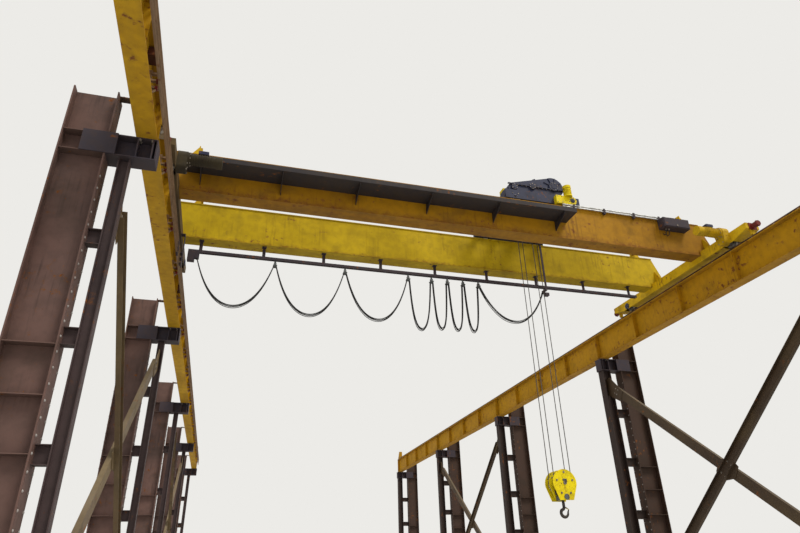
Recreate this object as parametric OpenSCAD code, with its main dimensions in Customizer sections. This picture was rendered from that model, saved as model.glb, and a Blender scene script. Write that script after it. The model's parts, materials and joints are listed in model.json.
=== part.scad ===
// Double girder overhead bridge crane on a five bay runway.
// X runs across the span, Y along the runway and Z up, in millimetres.
// The origin is on the floor, in the middle of the runway.

/* [Runway] */
// Distance between the centres of the two runway rails
span = 12200; // [11000:100:14000]
// Height of the rail tops above the floor
rail_top = 8000; // [7200:100:9500]
// Distance between two columns along the runway
bay = 7500; // [7000:50:7700]
// Number of bays
bays = 5; // [3:1:5]
// Depth of a runway beam
beam_depth = 740; // [650:10:850]
// Width of a runway beam's flanges
beam_flange = 280; // [240:10:340]
// Thickness of a runway beam's flanges
beam_flange_t = 18; // [12:1:25]
// Thickness of a runway beam's web
beam_web_t = 12; // [8:1:16]
// Gap between the ends of two runway beams
beam_gap = 12; // [6:1:20]
// Height of the runway rail
rail_h = 110; // [90:5:130]
// Width of the runway rail's head
rail_head = 60; // [50:2:70]
// Height of the end stops above the rail top
stop_h = 330; // [300:10:400]

/* [Columns] */
// Distance from the rail to the centre of the main column behind it
column_setback = 780; // [720:10:900]
// Depth of a main column across the runway
column_depth = 600; // [500:10:650]
// Width of a main column's flanges
column_flange = 300; // [250:10:360]
// Thickness of a main column's flanges
column_flange_t = 20; // [14:1:28]
// Thickness of a main column's web
column_web_t = 12; // [8:1:18]
// Depth and flange width of a crane leg
leg_size = 250; // [200:10:280]
// Size of the slimmer inner legs on the left side
left_leg_size = 150; // [130:5:200]
// Distance the left crane legs stand further out than their rail
left_leg_shift = 240; // [0:10:250]
// Thickness of a crane leg's flanges
leg_flange_t = 14; // [10:1:20]
// Thickness of a crane leg's web
leg_web_t = 9; // [6:1:14]
// Depth of the head beam under the runway beams
head_depth = 350; // [300:10:420]
// Width of the head beam's flanges
head_width = 280; // [240:10:320]
// Number of battens between the two legs of a column
battens = 4; // [2:1:6]
// Depth of a batten
batten_depth = 220; // [160:10:260]
// Thickness of a base plate
base_t = 30; // [20:1:45]
// Distance a base plate reaches past the legs
base_margin = 100; // [80:5:140]
// Diameter of an anchor bolt hole
anchor_d = 30; // [20:1:36]

/* [Bracing] */
// Depth of a diagonal channel
brace_depth = 240; // [180:10:280]
// Width of a diagonal channel's flanges
brace_flange = 80; // [60:5:100]
// Thickness of a diagonal channel
brace_t = 10; // [7:1:14]
// Thickness of a gusset plate
gusset_t = 12; // [8:1:20]
// Height of the lower end of the bracing
brace_low = 500; // [400:50:700]

/* [Girders] */
// Distance between the centres of the two girders
girder_spacing = 1840; // [1700:20:2100]
// Width of a girder's plates
girder_width = 360; // [320:10:420]
// Depth of a girder
girder_depth = 870; // [800:10:950]
// Height of the girders' underside above the rail top
girder_clear = 180; // [160:10:240]
// Thickness of a girder's top and bottom plates
girder_plate_t = 16; // [10:1:22]
// Thickness of a girder's webs
girder_web_t = 8; // [6:1:12]
// Distance that a girder's plates stand out past its webs
girder_lip = 20; // [15:1:30]
// Height of the trolley rail
trolley_rail_h = 60; // [50:5:70]
// Width of the trolley rail
trolley_rail_w = 50; // [44:2:60]

/* [End trucks] */
// Length of an end truck
truck_length = 5000; // [4800:50:5400]
// Width of an end truck
truck_width = 350; // [330:10:380]
// Height of an end truck's underside above the rail top
truck_clear = 45; // [35:5:60]
// Depth of an end truck
truck_depth = 235; // [225:5:300]
// Thickness of an end truck's plates
truck_plate_t = 12; // [8:1:16]
// Distance between the two wheels of an end truck
wheel_base = 3800; // [3600:50:3900]
// Tread diameter of a bridge wheel
wheel_d = 240; // [220:5:250]
// Diameter of a bridge wheel's axle
axle_d = 80; // [60:2:100]
// Length of a buffer
buffer_l = 180; // [120:10:220]

/* [Footwalk] */
// Width of the footwalk
walk_width = 480; // [420:10:600]
// Length of the footwalk from the left end truck
walk_length = 8250; // [7500:50:8600]
// Height of the footwalk's underside above the girders' underside
walk_rise = 420; // [350:10:480]
// Height of the footwalk's edge channel
walk_edge_h = 100; // [80:5:130]

/* [Trolley] */
// Place of the trolley's centre along the span
trolley_x = 1950; // [1500:50:2200]
// Length of the trolley along the girders
trolley_length = 1900; // [1800:50:2000]
// Distance between the trolley's axles
trolley_base = 1400; // [1300:20:1450]
// Tread diameter of a trolley wheel
trolley_wheel_d = 250; // [230:5:260]
// Diameter of the hoist drum
drum_d = 420; // [380:10:440]
// Length of the hoist drum
drum_length = 1000; // [900:20:1040]
// Diameter of the hoist rope
rope_d = 16; // [12:1:20]

/* [Hook block] */
// Height of the hook block's sheave centre above the floor
block_z = 3100; // [2900:50:3600]
// Pitch diameter of a block sheave
sheave_d = 380; // [360:5:400]
// Distance between the two block sheaves
sheave_spacing = 200; // [180:5:220]
// Radius of the hook's bowl at its centre line
hook_r = 75; // [65:1:85]
// Largest thickness of the hook
hook_thick = 62; // [52:1:70]

/* [Festoon] */
// Diameter of the festoon cable
cable_d = 24; // [18:1:28]
// Height of the festoon track
track_h = 60; // [54:2:70]

/* [Hidden] */

// Clearance of seats and running fits, and a length that makes cuts run through
seat = 0.3;
through = 1;

// Heights and places of the runway
half_span = span / 2;
half_run = bays * bay / 2;
beam_top = rail_top - rail_h;
beam_bottom = beam_top - beam_depth;
leg_top = beam_bottom - head_depth;
column_top = beam_top;
column_x = half_span + column_setback;
function leg_x(s) = half_span + (s < 0 ? left_leg_shift : 0);
function leg_depth(s) = s < 0 ? left_leg_size : leg_size;
column_inner_x = column_x - column_depth / 2;
head_inner_x = half_span - beam_flange / 2 - 20;
brace_bays = [for (k = [1 : 2 : bays - 2]) k];
brace_high = leg_top - 400;
gusset_reach = bay * 0.0827;
brace_trim = bay * 0.056;

// Places of the bridge: it stands in the middle of the second bay
bridge_y = -half_run + 1.5 * bay;
near_y = bridge_y - girder_spacing / 2;
far_y = bridge_y + girder_spacing / 2;
girder_bottom = rail_top + girder_clear;
girder_top = girder_bottom + girder_depth;
truck_bottom = rail_top + truck_clear;
truck_top = truck_bottom + truck_depth;
truck_inner_x = half_span - truck_width / 2;
truck_outer_x = half_span + truck_width / 2;
axle_z = rail_top + wheel_d / 2 + seat;
wheel_flange_h = 15;
wheel_flange_t = 20;
wheel_tread = rail_head + 24;
trolley_rail_top = girder_top + trolley_rail_h;
trolley_rail_end = half_span * 0.918;
walk_z = girder_bottom + walk_rise;
near_face_y = near_y - girder_width / 2;
near_web_y = near_face_y + girder_lip;

// Places of the trolley
trolley_axle_z = trolley_rail_top + trolley_wheel_d / 2 + seat;
frame_bottom = trolley_axle_z - 70;
frame_top = trolley_axle_z + 160;
side_truck_w = 130;
shaft_d = 90;
drum_axis_x = trolley_x + sheave_d / 2 + drum_d / 2;
drum_axis_z = frame_top + 330;
bearing_y = drum_length / 2 + 90;
motor_x = trolley_x - trolley_length * 0.3368;
motor_axis_z = frame_top + 165;
equalizer_x = trolley_x - sheave_d / 2;
cross_beam_w = 120;
end_beam_x = trolley_x - trolley_length * 0.4526;
mid_beam_x = equalizer_x - sheave_d * 0.37;
drum_beam_x = trolley_x + trolley_length * 0.4474;
equalizer_z = frame_top + 120;

// Places of the hook block
cheek_half = sheave_d / 2 + rope_d + 52;
cheek_low = sheave_d / 2 + rope_d + 114;
block_half_y = sheave_spacing / 2 + 60;
crosshead_h = 84;
crosshead_z = block_z - sheave_d / 2 - rope_d - 12 - crosshead_h / 2;

// Places of the festoon under the far girder
track_y = far_y - 60;
track_top = girder_bottom - 250;
track_bottom = track_top - track_h;
track_w = 80;
track_t = 4;
track_slot = 26;
cable_z = track_bottom - 150;
cable_rest = 30;
track_left_x = -half_span * 0.9467;
track_right_x = half_span * 0.8893;
clamp_x = track_left_x * 0.9697;
tow_x = trolley_x + trolley_length * 0.3947;
carrier_shares = [0.2024, 0.3928, 0.5747, 0.6446, 0.6928, 0.741, 0.7892];
carrier_x = [for (share = carrier_shares) clamp_x + share * (tow_x - clamp_x)];
cable_stops = concat([clamp_x], carrier_x, [tow_x]);
loop_drops = [1020, 1080, 1060, 1200, 1150, 1150, 1150, 820];

steel_yellow = "goldenrod";
steel_brown = "#3a2822";
steel_dark = "#26282c";

// Height of column line k along the runway
function column_y(k) = -half_run + k * bay;

// Draws what is made for the right side, mirrored on the left side
module side(s) {
  if (s < 0) mirror([1, 0, 0]) children();
  else children();
}

// Profiles drawn flat are pushed along X or along Y, centred on the length
module along_x(length) rotate([90, 0, 90]) linear_extrude(length, center = true) children();
module along_y(length) rotate([90, 0, 0]) linear_extrude(length, center = true) children();

// I section standing on y = 0, centred on x
module i_section(depth, width, flange_t, web_t) {
  translate([-width / 2, 0]) square([width, flange_t]);
  translate([-web_t / 2, 0]) square([web_t, depth]);
  translate([-width / 2, depth - flange_t]) square([width, flange_t]);
}

// Box given by its lowest and highest corners
module block(low, high) translate(low) cube(high - low);

// Plate across X between two places, from a profile in the Y and Z plane
module yz_plate(x, t, points) translate([x, 0, 0]) along_x(t) polygon(points);

module main_columns() {
  color(steel_brown) for (s = [-1, 1], k = [0 : bays]) side(s)
    translate([column_x, column_y(k), base_t]) linear_extrude(column_top - base_t)
      rotate(90) translate([0, -column_depth / 2])
        i_section(column_depth, column_flange, column_flange_t, column_web_t);
}

module crane_legs() {
  color(steel_brown) for (s = [-1, 1], k = [0 : bays]) side(s)
    translate([leg_x(s), column_y(k), base_t]) linear_extrude(leg_top - base_t)
      rotate(90) translate([0, -leg_depth(s) / 2])
        i_section(leg_depth(s), leg_depth(s), leg_flange_t, leg_web_t);
}

base_inner_x = half_span - leg_size / 2 - base_margin;
base_outer_x = column_x + column_depth / 2 + base_margin;
base_half_y = column_flange / 2 + base_margin;
anchor_edge = 55;

module base_plates() {
  hole_x = [base_inner_x + anchor_edge, base_outer_x - anchor_edge];
  color(steel_brown) for (s = [-1, 1], k = [0 : bays]) side(s) translate([0, column_y(k), 0])
    difference() {
      block([base_inner_x, -base_half_y, 0], [base_outer_x, base_half_y, base_t]);
      for (x = hole_x, j = [-1, 1]) translate([x, j * (base_half_y - anchor_edge), -through])
        cylinder(h = base_t + 2 * through, d = anchor_d, $fn = 32);
    }
}

module battens() {
  batten_width = 140;
  batten_t = 10;
  color(steel_brown) for (s = [-1, 1], k = [0 : bays], i = [1 : battens]) {
    leg_face = leg_x(s) + leg_depth(s) / 2;
    side(s) translate([(leg_face + column_inner_x) / 2, column_y(k), leg_top * i / (battens + 1)])
      along_x(column_inner_x - leg_face) i_section(batten_depth, batten_width, batten_t, batten_t);
  }
}

// Bracket on which two runway beams sit, with stiffeners and two plates that clasp the main column
module head_beams() {
  head_t = 16;
  length = column_inner_x - head_inner_x;
  clasp_l = column_depth * 0.55;
  color(steel_dark) for (s = [-1, 1], k = [0 : bays]) side(s) translate([0, column_y(k), leg_top]) {
    translate([head_inner_x + length / 2, 0, 0])
      along_x(length) i_section(head_depth, head_width, head_t, head_t);
    for (x = [head_inner_x + head_t / 2, half_span - 100, half_span + 100])
      translate([x, 0, head_depth / 2]) cube([head_t, head_width, head_depth], center = true);
    for (j = [-1, 1]) mirror([0, j < 0 ? 1 : 0, 0]) {
      block([column_inner_x - 120, column_flange / 2, 0],
            [column_inner_x + clasp_l, column_flange / 2 + head_t, head_depth]);
      block([column_inner_x - 120, head_width / 2 - 5, 0],
            [column_inner_x - 120 + head_t, column_flange / 2 + head_t, head_depth]);
    }
  }
}

// Channel with its web on x = 0 and its flanges towards +x, along the line from a to b in Y and Z
module diagonal(a, b, trim) {
  run = b - a;
  length = norm(run) - 2 * trim;
  middle = (a + b) / 2;
  translate([0, middle[0], middle[1]]) rotate([atan2(run[1], run[0]), 0, 0]) along_y(length) {
    translate([0, -brace_depth / 2]) square([brace_t, brace_depth]);
    for (z = [-brace_depth / 2, brace_depth / 2 - brace_t])
      translate([0, z]) square([brace_flange, brace_t]);
  }
}

module rising_braces() {
  color(steel_brown) for (s = [-1, 1], k = brace_bays)
    side(s) translate([leg_x(s) + gusset_t / 2, 0, 0])
      diagonal([column_y(k), brace_low], [column_y(k + 1), brace_high], brace_trim);
}

module falling_braces() {
  color(steel_brown) for (s = [-1, 1], k = brace_bays)
    side(s) translate([leg_x(s) - gusset_t / 2, 0, 0]) mirror([1, 0, 0])
      diagonal([column_y(k), brace_high], [column_y(k + 1), brace_low], brace_trim);
}

// Plates at both ends of the diagonals and where they cross
module brace_gussets() {
  slope = (brace_high - brace_low) / bay;
  face = leg_web_t / 2;
  reach = gusset_reach;
  color(steel_brown) for (s = [-1, 1], k = brace_bays) side(s) {
    for (end = [[column_y(k), 1], [column_y(k + 1), -1]], z = [[brace_low, 1], [brace_high, -1]])
      translate([0, end[0], z[0]]) mirror([0, end[1] < 0 ? 1 : 0, 0]) mirror([0, 0, z[1] < 0 ? 1 : 0])
        yz_plate(leg_x(s), gusset_t, [
          [face, -150], [200, -150], [reach + 60, reach * slope - 110],
          [reach - 100, reach * slope + 150], [face, 330]
        ]);
    yz_plate(leg_x(s), gusset_t, [for (a = [0 : 5])
      [column_y(k) + bay / 2 + 330 * cos(60 * a), (brace_low + brace_high) / 2 + 260 * sin(60 * a)]]);
  }
}

// One span of the runway with stiffeners at its ends and at the quarter points
module runway_beam_span() {
  length = bay - beam_gap;
  stiffener_t = 10;
  stiffener_w = beam_flange / 2 - 14;
  translate([half_span, 0, beam_bottom]) {
    along_y(length) i_section(beam_depth, beam_flange, beam_flange_t, beam_web_t);
    for (share = [-0.5, -0.25, 0, 0.25, 0.5])
      translate([0, share * (length - 2 * stiffener_t), beam_depth / 2])
        cube([2 * stiffener_w, stiffener_t, beam_depth - beam_flange_t], center = true);
  }
}

module runway_beams() {
  color(steel_yellow) for (s = [-1, 1], k = [0 : bays - 1]) side(s)
    translate([0, column_y(k) + bay / 2, 0]) runway_beam_span();
}

// Flat ties from the beam's top flange to the main column
module beam_ties() {
  tie_t = 14;
  color(steel_brown) for (s = [-1, 1], k = [0 : bays]) side(s)
    block([half_span + beam_flange / 2, column_y(k) - 60, beam_top - tie_t],
          [column_inner_x, column_y(k) + 60, beam_top]);
}

// Rail profile standing on y = 0: wide foot, thin web and rounded head
module rail_profile() {
  foot = rail_h;
  foot_t = 12;
  web = 18;
  head_h = 36;
  crown = 8;
  polygon([
    [-foot / 2, 0], [foot / 2, 0], [foot / 2, foot_t - 4], [web / 2 + 8, foot_t + 8],
    [web / 2, foot_t + 20], [web / 2, rail_h - head_h - 8], [rail_head / 2, rail_h - head_h],
    [rail_head / 2, rail_h - crown], [rail_head / 2 - crown, rail_h],
    [-rail_head / 2 + crown, rail_h], [-rail_head / 2, rail_h - crown],
    [-rail_head / 2, rail_h - head_h], [-web / 2, rail_h - head_h - 8],
    [-web / 2, foot_t + 20], [-web / 2 - 8, foot_t + 8], [-foot / 2, foot_t - 4]
  ]);
}

module runway_rails() {
  color("dimgray") for (s = [-1, 1])
    translate([s * half_span, 0, beam_top]) along_y(2 * half_run) rail_profile();
}

stop_face = half_run - 300;

// End stop over the rail: an upright plate with two raking cheeks, cut free of the rail
module runway_stops() {
  plate_t = 30;
  cheek_x = rail_h / 2 + 20;
  color(steel_yellow) for (s = [-1, 1], e = [-1, 1])
    side(s) mirror([0, e < 0 ? 1 : 0, 0]) difference() {
      union() {
        block([half_span - cheek_x - 14, stop_face, beam_top],
              [half_span + cheek_x + 14, stop_face + plate_t, rail_top + stop_h]);
        for (x = [-cheek_x - 7, cheek_x + 7])
          yz_plate(half_span + x, 14, [
            [stop_face + plate_t, beam_top], [half_run - beam_gap, beam_top],
            [half_run - beam_gap, beam_top + 60], [stop_face + plate_t, rail_top + stop_h]
          ]);
      }
      block([half_span - rail_h / 2 - 5, stop_face - through, beam_top - through],
            [half_span + rail_h / 2 + 5, half_run, rail_top + 5]);
    }
}

// Power rails beside the web of the left runway beams
bar_x = -(half_span - beam_flange / 2 - 60);
bar_z = [for (i = [0 : 2]) beam_bottom + 230 + 120 * i];
bar_w = 30;
bar_h = 44;

module conductor_bars() {
  color("#6b5a45") for (z = bar_z)
    translate([bar_x, 0, z]) along_y(2 * half_run - 200) difference() {
      translate([-bar_w / 2, -bar_h / 2]) square([bar_w, bar_h]);
      translate([-4, -bar_h / 2 + 6]) square([bar_w, bar_h - 12]);
    }
}

// Bracket arms from the web with one insulator block behind each bar
module conductor_brackets() {
  arm_t = 8;
  web_x = -(half_span - beam_web_t / 2);
  color("#5a3a2a") for (k = [0 : bays - 1], share = [1 / 8, 3 / 8, 5 / 8, 7 / 8])
    translate([0, column_y(k) + share * bay, 0]) {
      block([web_x, -arm_t / 2, bar_z[0] - 60], [web_x + 60, arm_t / 2, bar_z[2] + 60]);
      for (z = bar_z) block([web_x + 60, -22, z - 16], [bar_x - bar_w / 2, 22, z + 16]);
      for (z = bar_z) block([web_x + 50, -22, z - 16], [web_x + 60, 22, z + 16]);
    }
}

girder_top_x = half_span - 20;
girder_end_x = truck_outer_x + 130;

// Outline of a girder in X and Z, drawn in by the same amount on every side
function girder_outline(inset) = let (
  top_x = girder_top_x - inset, end_x = girder_end_x - inset, low_x = truck_inner_x - inset
) [
  [-end_x, truck_top + inset], [-top_x, girder_top - inset],
  [top_x, girder_top - inset], [end_x, truck_top + inset],
  [low_x, truck_top + inset], [low_x, girder_bottom + inset],
  [-low_x, girder_bottom + inset], [-low_x, truck_top + inset]
];

// Hollow box girder: two webs, plates that stand out past them, and closed sloping ends
module girder(y) {
  t = girder_plate_t;
  body_w = girder_width - 2 * girder_lip;
  low_x = truck_inner_x;
  color(steel_yellow) translate([0, y, 0]) {
    difference() {
      along_y(body_w) polygon(girder_outline(0));
      along_y(body_w - 2 * girder_web_t) polygon(girder_outline(t));
    }
    block([-girder_top_x, -girder_width / 2, girder_top - t],
          [girder_top_x, girder_width / 2, girder_top]);
    block([-low_x, -girder_width / 2, girder_bottom], [low_x, girder_width / 2, girder_bottom + t]);
    for (s = [-1, 1]) side(s)
      block([low_x - t, -girder_width / 2, girder_bottom], [low_x, girder_width / 2, truck_top + 2 * t]);
    for (s = [-1, 1]) side(s)
      block([low_x - t, -girder_width / 2, truck_top], [girder_end_x, girder_width / 2, truck_top + t]);
  }
}

// Outline of an end truck in Y and Z with raised noses, drawn in by the same amount on every side
function truck_outline(inset) = let (half = truck_length / 2 - inset, nose = 420) [
  [-half, truck_bottom + truck_depth * 0.4], [-half + nose, truck_bottom + inset],
  [half - nose, truck_bottom + inset], [half, truck_bottom + truck_depth * 0.4],
  [half, truck_top - inset], [-half, truck_top - inset]
];

module end_truck(s) {
  t = truck_plate_t;
  window = wheel_d + 2 * wheel_flange_h + 60;
  color(steel_yellow) side(s) translate([half_span, bridge_y, 0]) difference() {
    along_x(truck_width) polygon(truck_outline(0));
    along_x(truck_width - 2 * t) polygon(truck_outline(t));
    for (e = [-1, 1]) {
      translate([0, e * wheel_base / 2, truck_bottom])
        cube([truck_width - 2 * t, window, 3 * t], center = true);
      translate([0, e * wheel_base / 2, axle_z]) rotate([0, 90, 0])
        cylinder(h = truck_width + 2, d = axle_d + seat, center = true, $fn = 64);
    }
  }
}

// Wheel profile as radius against place along the axle, with a flange on each side
module wheel(tread_d, tread_w, flange_h, flange_t, hub_d, hub_w) {
  r = tread_d / 2;
  half = tread_w / 2 + flange_t;
  rotate([0, 90, 0]) rotate_extrude($fn = 96) polygon([
    [0, -hub_w / 2], [hub_d / 2, -hub_w / 2], [hub_d / 2, -half + 14], [r - 34, -half + 14],
    [r - 34, -half], [r + flange_h - 5, -half], [r + flange_h, -half + 6],
    [r + flange_h, -half + flange_t - 5],
    [r, -half + flange_t], [r, half - flange_t], [r + flange_h, half - flange_t + 5],
    [r + flange_h, half - 6], [r + flange_h - 5, half], [r - 34, half], [r - 34, half - 14],
    [hub_d / 2, half - 14], [hub_d / 2, hub_w / 2], [0, hub_w / 2]
  ]);
}

module bridge_wheels() {
  hub_w = truck_width - 2 * truck_plate_t - 40;
  color("dimgray") for (s = [-1, 1], e = [-1, 1])
    translate([s * half_span, bridge_y + e * wheel_base / 2, axle_z]) {
      wheel(wheel_d, wheel_tread, wheel_flange_h, wheel_flange_t, axle_d + 50, hub_w);
      rotate([0, 90, 0]) cylinder(h = truck_width + 40, d = axle_d, center = true, $fn = 64);
    }
}

module buffers() {
  plate_h = 160;
  color("darkred") for (s = [-1, 1], e = [-1, 1])
    translate([s * half_span, bridge_y + e * truck_length / 2, truck_top - plate_h / 2 - 5])
      rotate([e < 0 ? 90 : -90, 0, 0]) {
        translate([0, 0, 8]) cube([200, plate_h, 16], center = true);
        translate([0, 0, 16]) cylinder(h = buffer_l - 46, d = 130, $fn = 64);
        translate([0, 0, buffer_l - 30]) cylinder(h = 30, d1 = 150, d2 = 120, $fn = 64);
      }
}

module trolley_rails() {
  color("dimgray") for (y = [near_y, far_y])
    translate([0, y, girder_top]) along_x(2 * trolley_rail_end) polygon([
      [-trolley_rail_w / 2, 0], [trolley_rail_w / 2, 0], [trolley_rail_w / 2, trolley_rail_h - 6],
      [trolley_rail_w / 2 - 6, trolley_rail_h], [-trolley_rail_w / 2 + 6, trolley_rail_h],
      [-trolley_rail_w / 2, trolley_rail_h - 6]
    ]);
}

trolley_stop_x = trolley_rail_end + 60;

module trolley_stops() {
  color(steel_yellow) for (s = [-1, 1], y = [near_y, far_y]) side(s) translate([0, y, girder_top]) {
    block([trolley_stop_x, -90, 0], [trolley_stop_x + 20, 90, 260]);
    for (j = [-1, 1]) translate([0, j * 83, 0]) along_y(14)
      polygon([[trolley_stop_x + 20, 0], [trolley_stop_x + 180, 0], [trolley_stop_x + 20, 230]]);
    translate([trolley_stop_x - 20, 0, 190]) cube([40, 120, 90], center = true);
  }
}

walk_left_x = -truck_inner_x + 60;
walk_right_x = walk_left_x + walk_length;
walk_outer_y = near_web_y - walk_width;

// Deck plate with an edge channel along its outer side and knee plates below
module footwalk() {
  deck_t = 8;
  knees = 6;
  knee_margin = walk_length / 27.5;
  color(steel_dark) {
    block([walk_left_x, walk_outer_y, walk_z], [walk_right_x, near_web_y, walk_z + deck_t]);
    translate([(walk_left_x + walk_right_x) / 2, walk_outer_y, walk_z]) along_x(walk_length) {
      square([8, walk_edge_h]);
      square([50, 8]);
      translate([0, walk_edge_h - 8]) square([50, 8]);
    }
    for (i = [0 : knees - 1])
      yz_plate(walk_left_x + knee_margin + i * (walk_length - 2 * knee_margin) / (knees - 1), 10, [
        [near_web_y, walk_z], [walk_outer_y + 20, walk_z], [walk_outer_y + 20, walk_z - 50],
        [near_web_y, walk_z - 260]
      ]);
  }
}

// Gear case on the near axle of each end truck, with its finned motor towards the middle
module bridge_drives() {
  wheel_y = bridge_y - wheel_base / 2;
  case_out = truck_inner_x - seat;
  case_in = case_out - 170;
  motor_z = axle_z + 190;
  motor_l = wheel_base / 6.8;
  color(steel_dark) for (s = [-1, 1]) side(s) translate([0, wheel_y, 0]) {
    difference() {
      translate([(case_in + case_out) / 2, 0, 0]) along_x(case_out - case_in) {
        translate([0, axle_z]) circle(r = 115, $fn = 64);
        translate([0, motor_z]) circle(r = 135, $fn = 64);
        polygon([[-114, axle_z], [114, axle_z], [134, motor_z], [-134, motor_z]]);
      }
      translate([case_out - 40, 0, axle_z]) rotate([0, 90, 0])
        cylinder(h = 60, d = axle_d + 2 * seat, $fn = 64);
    }
    translate([case_in, 0, motor_z]) rotate([0, -90, 0]) {
      cylinder(h = 40, d = 250, $fn = 64);
      cylinder(h = motor_l, d = 196, $fn = 64);
      for (i = [0 : 8]) translate([0, 0, 70 + i * 42]) cylinder(h = 14, d = 222, $fn = 64);
      translate([0, 0, motor_l - 70]) cylinder(h = 110, d = 222, $fn = 64);
    }
    block([case_in - 330, -70, motor_z + 90], [case_in - 190, 70, motor_z + 160]);
  }
}

// Switch cabinet on the near girder's outer web, beside the right drive
module drive_panel() {
  panel_w = 720;
  panel_h = 250;
  panel_depth = 210;
  right_x = half_span * 0.923;
  top_z = girder_top - 40;
  color(steel_dark) {
    block([right_x - panel_w, near_web_y - panel_depth, top_z - panel_h], [right_x, near_web_y, top_z]);
    block([right_x - panel_w + 20, near_web_y - panel_depth - 12, top_z - panel_h + 20],
          [right_x - 20, near_web_y - panel_depth, top_z - 20]);
  }
}

// Channel with its slot at the bottom, hung from the girder; clamp and junction box at its left end
module festoon_track() {
  hangers = 9;
  first = track_left_x * 0.957;
  last = track_right_x * 0.963;
  color(steel_dark) {
    translate([(track_left_x + track_right_x) / 2, track_y, track_bottom])
      along_x(track_right_x - track_left_x) difference() {
        translate([-track_w / 2, 0]) square([track_w, track_h]);
        translate([-track_w / 2 + track_t, track_t])
          square([track_w - 2 * track_t, track_h - 2 * track_t]);
        translate([-track_slot / 2, -through]) square([track_slot, track_t + 2 * through]);
      }
    block([clamp_x - 60, track_y - 45, cable_z + cable_d / 2 + seat],
          [clamp_x + 60, track_y + 45, track_bottom]);
    block([track_left_x, track_y - 60, cable_z - 60],
          [clamp_x - cable_rest - seat, track_y + 60, track_bottom]);
    for (i = [0 : hangers - 1])
      translate([first + i * (last - first) / (hangers - 1), track_y, 0]) {
        block([-35, -5, track_top + 8], [35, 5, girder_bottom - 10]);
        block([-35, -40, track_top], [35, 40, track_top + 8]);
        block([-50, -50, girder_bottom - 10], [50, 50, girder_bottom]);
      }
  }
}

// Arm from the left end truck down to the power rails, with one shoe for each bar
module collector() {
  shoe_x = bar_x + bar_w / 2 + 5;
  arm_y = bridge_y + truck_length / 10;
  arm_x = -truck_inner_x + 90;
  arm_z = truck_bottom + 20;
  color(steel_dark) {
    block([-truck_inner_x, arm_y - 60, arm_z], [arm_x, arm_y + 60, arm_z + 12]);
    block([arm_x - 12, arm_y - 60, bar_z[0] - 60], [arm_x, arm_y + 60, arm_z]);
    for (z = bar_z) block([shoe_x, arm_y - 70, z - 10], [arm_x - 12, arm_y + 70, z + 10]);
  }
}

// Welded frame: two side trucks, three cross beams and two bearing beams
module trolley_frame() {
  cross_h = 150;
  window = trolley_wheel_d + 60;
  cross_low = frame_top - cross_h;
  half_y = girder_spacing / 2 - side_truck_w / 2;
  color(steel_dark) {
    for (y = [near_y, far_y]) difference() {
      block([trolley_x - trolley_length / 2, y - side_truck_w / 2, frame_bottom],
            [trolley_x + trolley_length / 2, y + side_truck_w / 2, frame_top]);
      for (e = [-1, 1]) translate([trolley_x + e * trolley_base / 2, y, 0]) {
        block([-window / 2, -side_truck_w / 2 + 12, frame_bottom - through],
              [window / 2, side_truck_w / 2 - 12, frame_top - 12]);
        translate([0, 0, trolley_axle_z]) rotate([90, 0, 0])
          cylinder(h = side_truck_w + 2, d = 60 + seat, center = true, $fn = 64);
      }
    }
    for (x = [end_beam_x, mid_beam_x, drum_beam_x])
      block([x - cross_beam_w / 2, bridge_y - half_y, cross_low],
            [x + cross_beam_w / 2, bridge_y + half_y, frame_top]);
    for (y = [-bearing_y, bearing_y])
      block([end_beam_x, bridge_y + y - 50, cross_low], [drum_beam_x, bridge_y + y + 50, frame_top]);
    block([end_beam_x, bridge_y - bearing_y, frame_top - 14], [mid_beam_x, bridge_y - 60, frame_top]);
    for (j = [-1, 1])
      translate([mid_beam_x, bridge_y + j * (sheave_spacing / 2 + 60) - 35, frame_top - 24])
        cube([2 * (equalizer_x - mid_beam_x), 70, 24]);
    equalizer_plates();
  }
}

module trolley_wheels() {
  color("dimgray") for (y = [near_y, far_y], e = [-1, 1])
    translate([trolley_x + e * trolley_base / 2, y, trolley_axle_z]) rotate(90) {
      wheel(trolley_wheel_d, trolley_rail_w + 14, 12, 14, 96, side_truck_w - 30);
      rotate([0, 90, 0]) cylinder(h = side_truck_w + 24, d = 60, center = true, $fn = 64);
    }
}

// Drum with two bands of grooves that start over the rope falls, end flanges and a through shaft
module hoist_drum() {
  pitch = rope_d + 4;
  flange_t = 16;
  half = drum_length / 2;
  r = drum_d / 2 - rope_d / 2 - seat;
  flange_r = r + 44;
  turns = floor((half - flange_t - 10 - sheave_spacing / 2) / pitch);
  ridges = [for (i = [0 : turns]) sheave_spacing / 2 - pitch / 2 + i * pitch];
  function ridge(place) = [[r, place - 4], [r + 4, place - 1.5], [r + 4, place + 1.5], [r, place + 4]];
  color("#5b6166") translate([drum_axis_x, bridge_y, drum_axis_z]) rotate([90, 0, 0]) {
    rotate_extrude($fn = 96) polygon(concat(
      [[0, -half], [flange_r, -half], [flange_r, -half + flange_t], [r, -half + flange_t]],
      [for (i = [turns : -1 : 0]) each ridge(-ridges[i])],
      [for (place = ridges) each ridge(place)],
      [[r, half - flange_t], [flange_r, half - flange_t], [flange_r, half], [0, half]]
    ));
    translate([0, 0, -bearing_y - 60]) cylinder(h = 2 * bearing_y + 180, d = shaft_d, $fn = 64);
  }
}

// Split pedestal bearings under the drum shaft
module drum_bearings() {
  color(steel_dark) for (y = [-bearing_y, bearing_y])
    translate([drum_axis_x, bridge_y + y, 0]) difference() {
      union() {
        block([-130, -40, frame_top], [130, 40, frame_top + 30]);
        along_y(70) translate([0, drum_axis_z]) circle(d = 190, $fn = 64);
        along_y(70) polygon([
          [-120, frame_top + 30], [120, frame_top + 30], [85, drum_axis_z], [-85, drum_axis_z]
        ]);
      }
      translate([0, 0, drum_axis_z]) rotate([90, 0, 0])
        cylinder(h = 200, d = shaft_d + 2 * seat, center = true, $fn = 64);
    }
}

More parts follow.
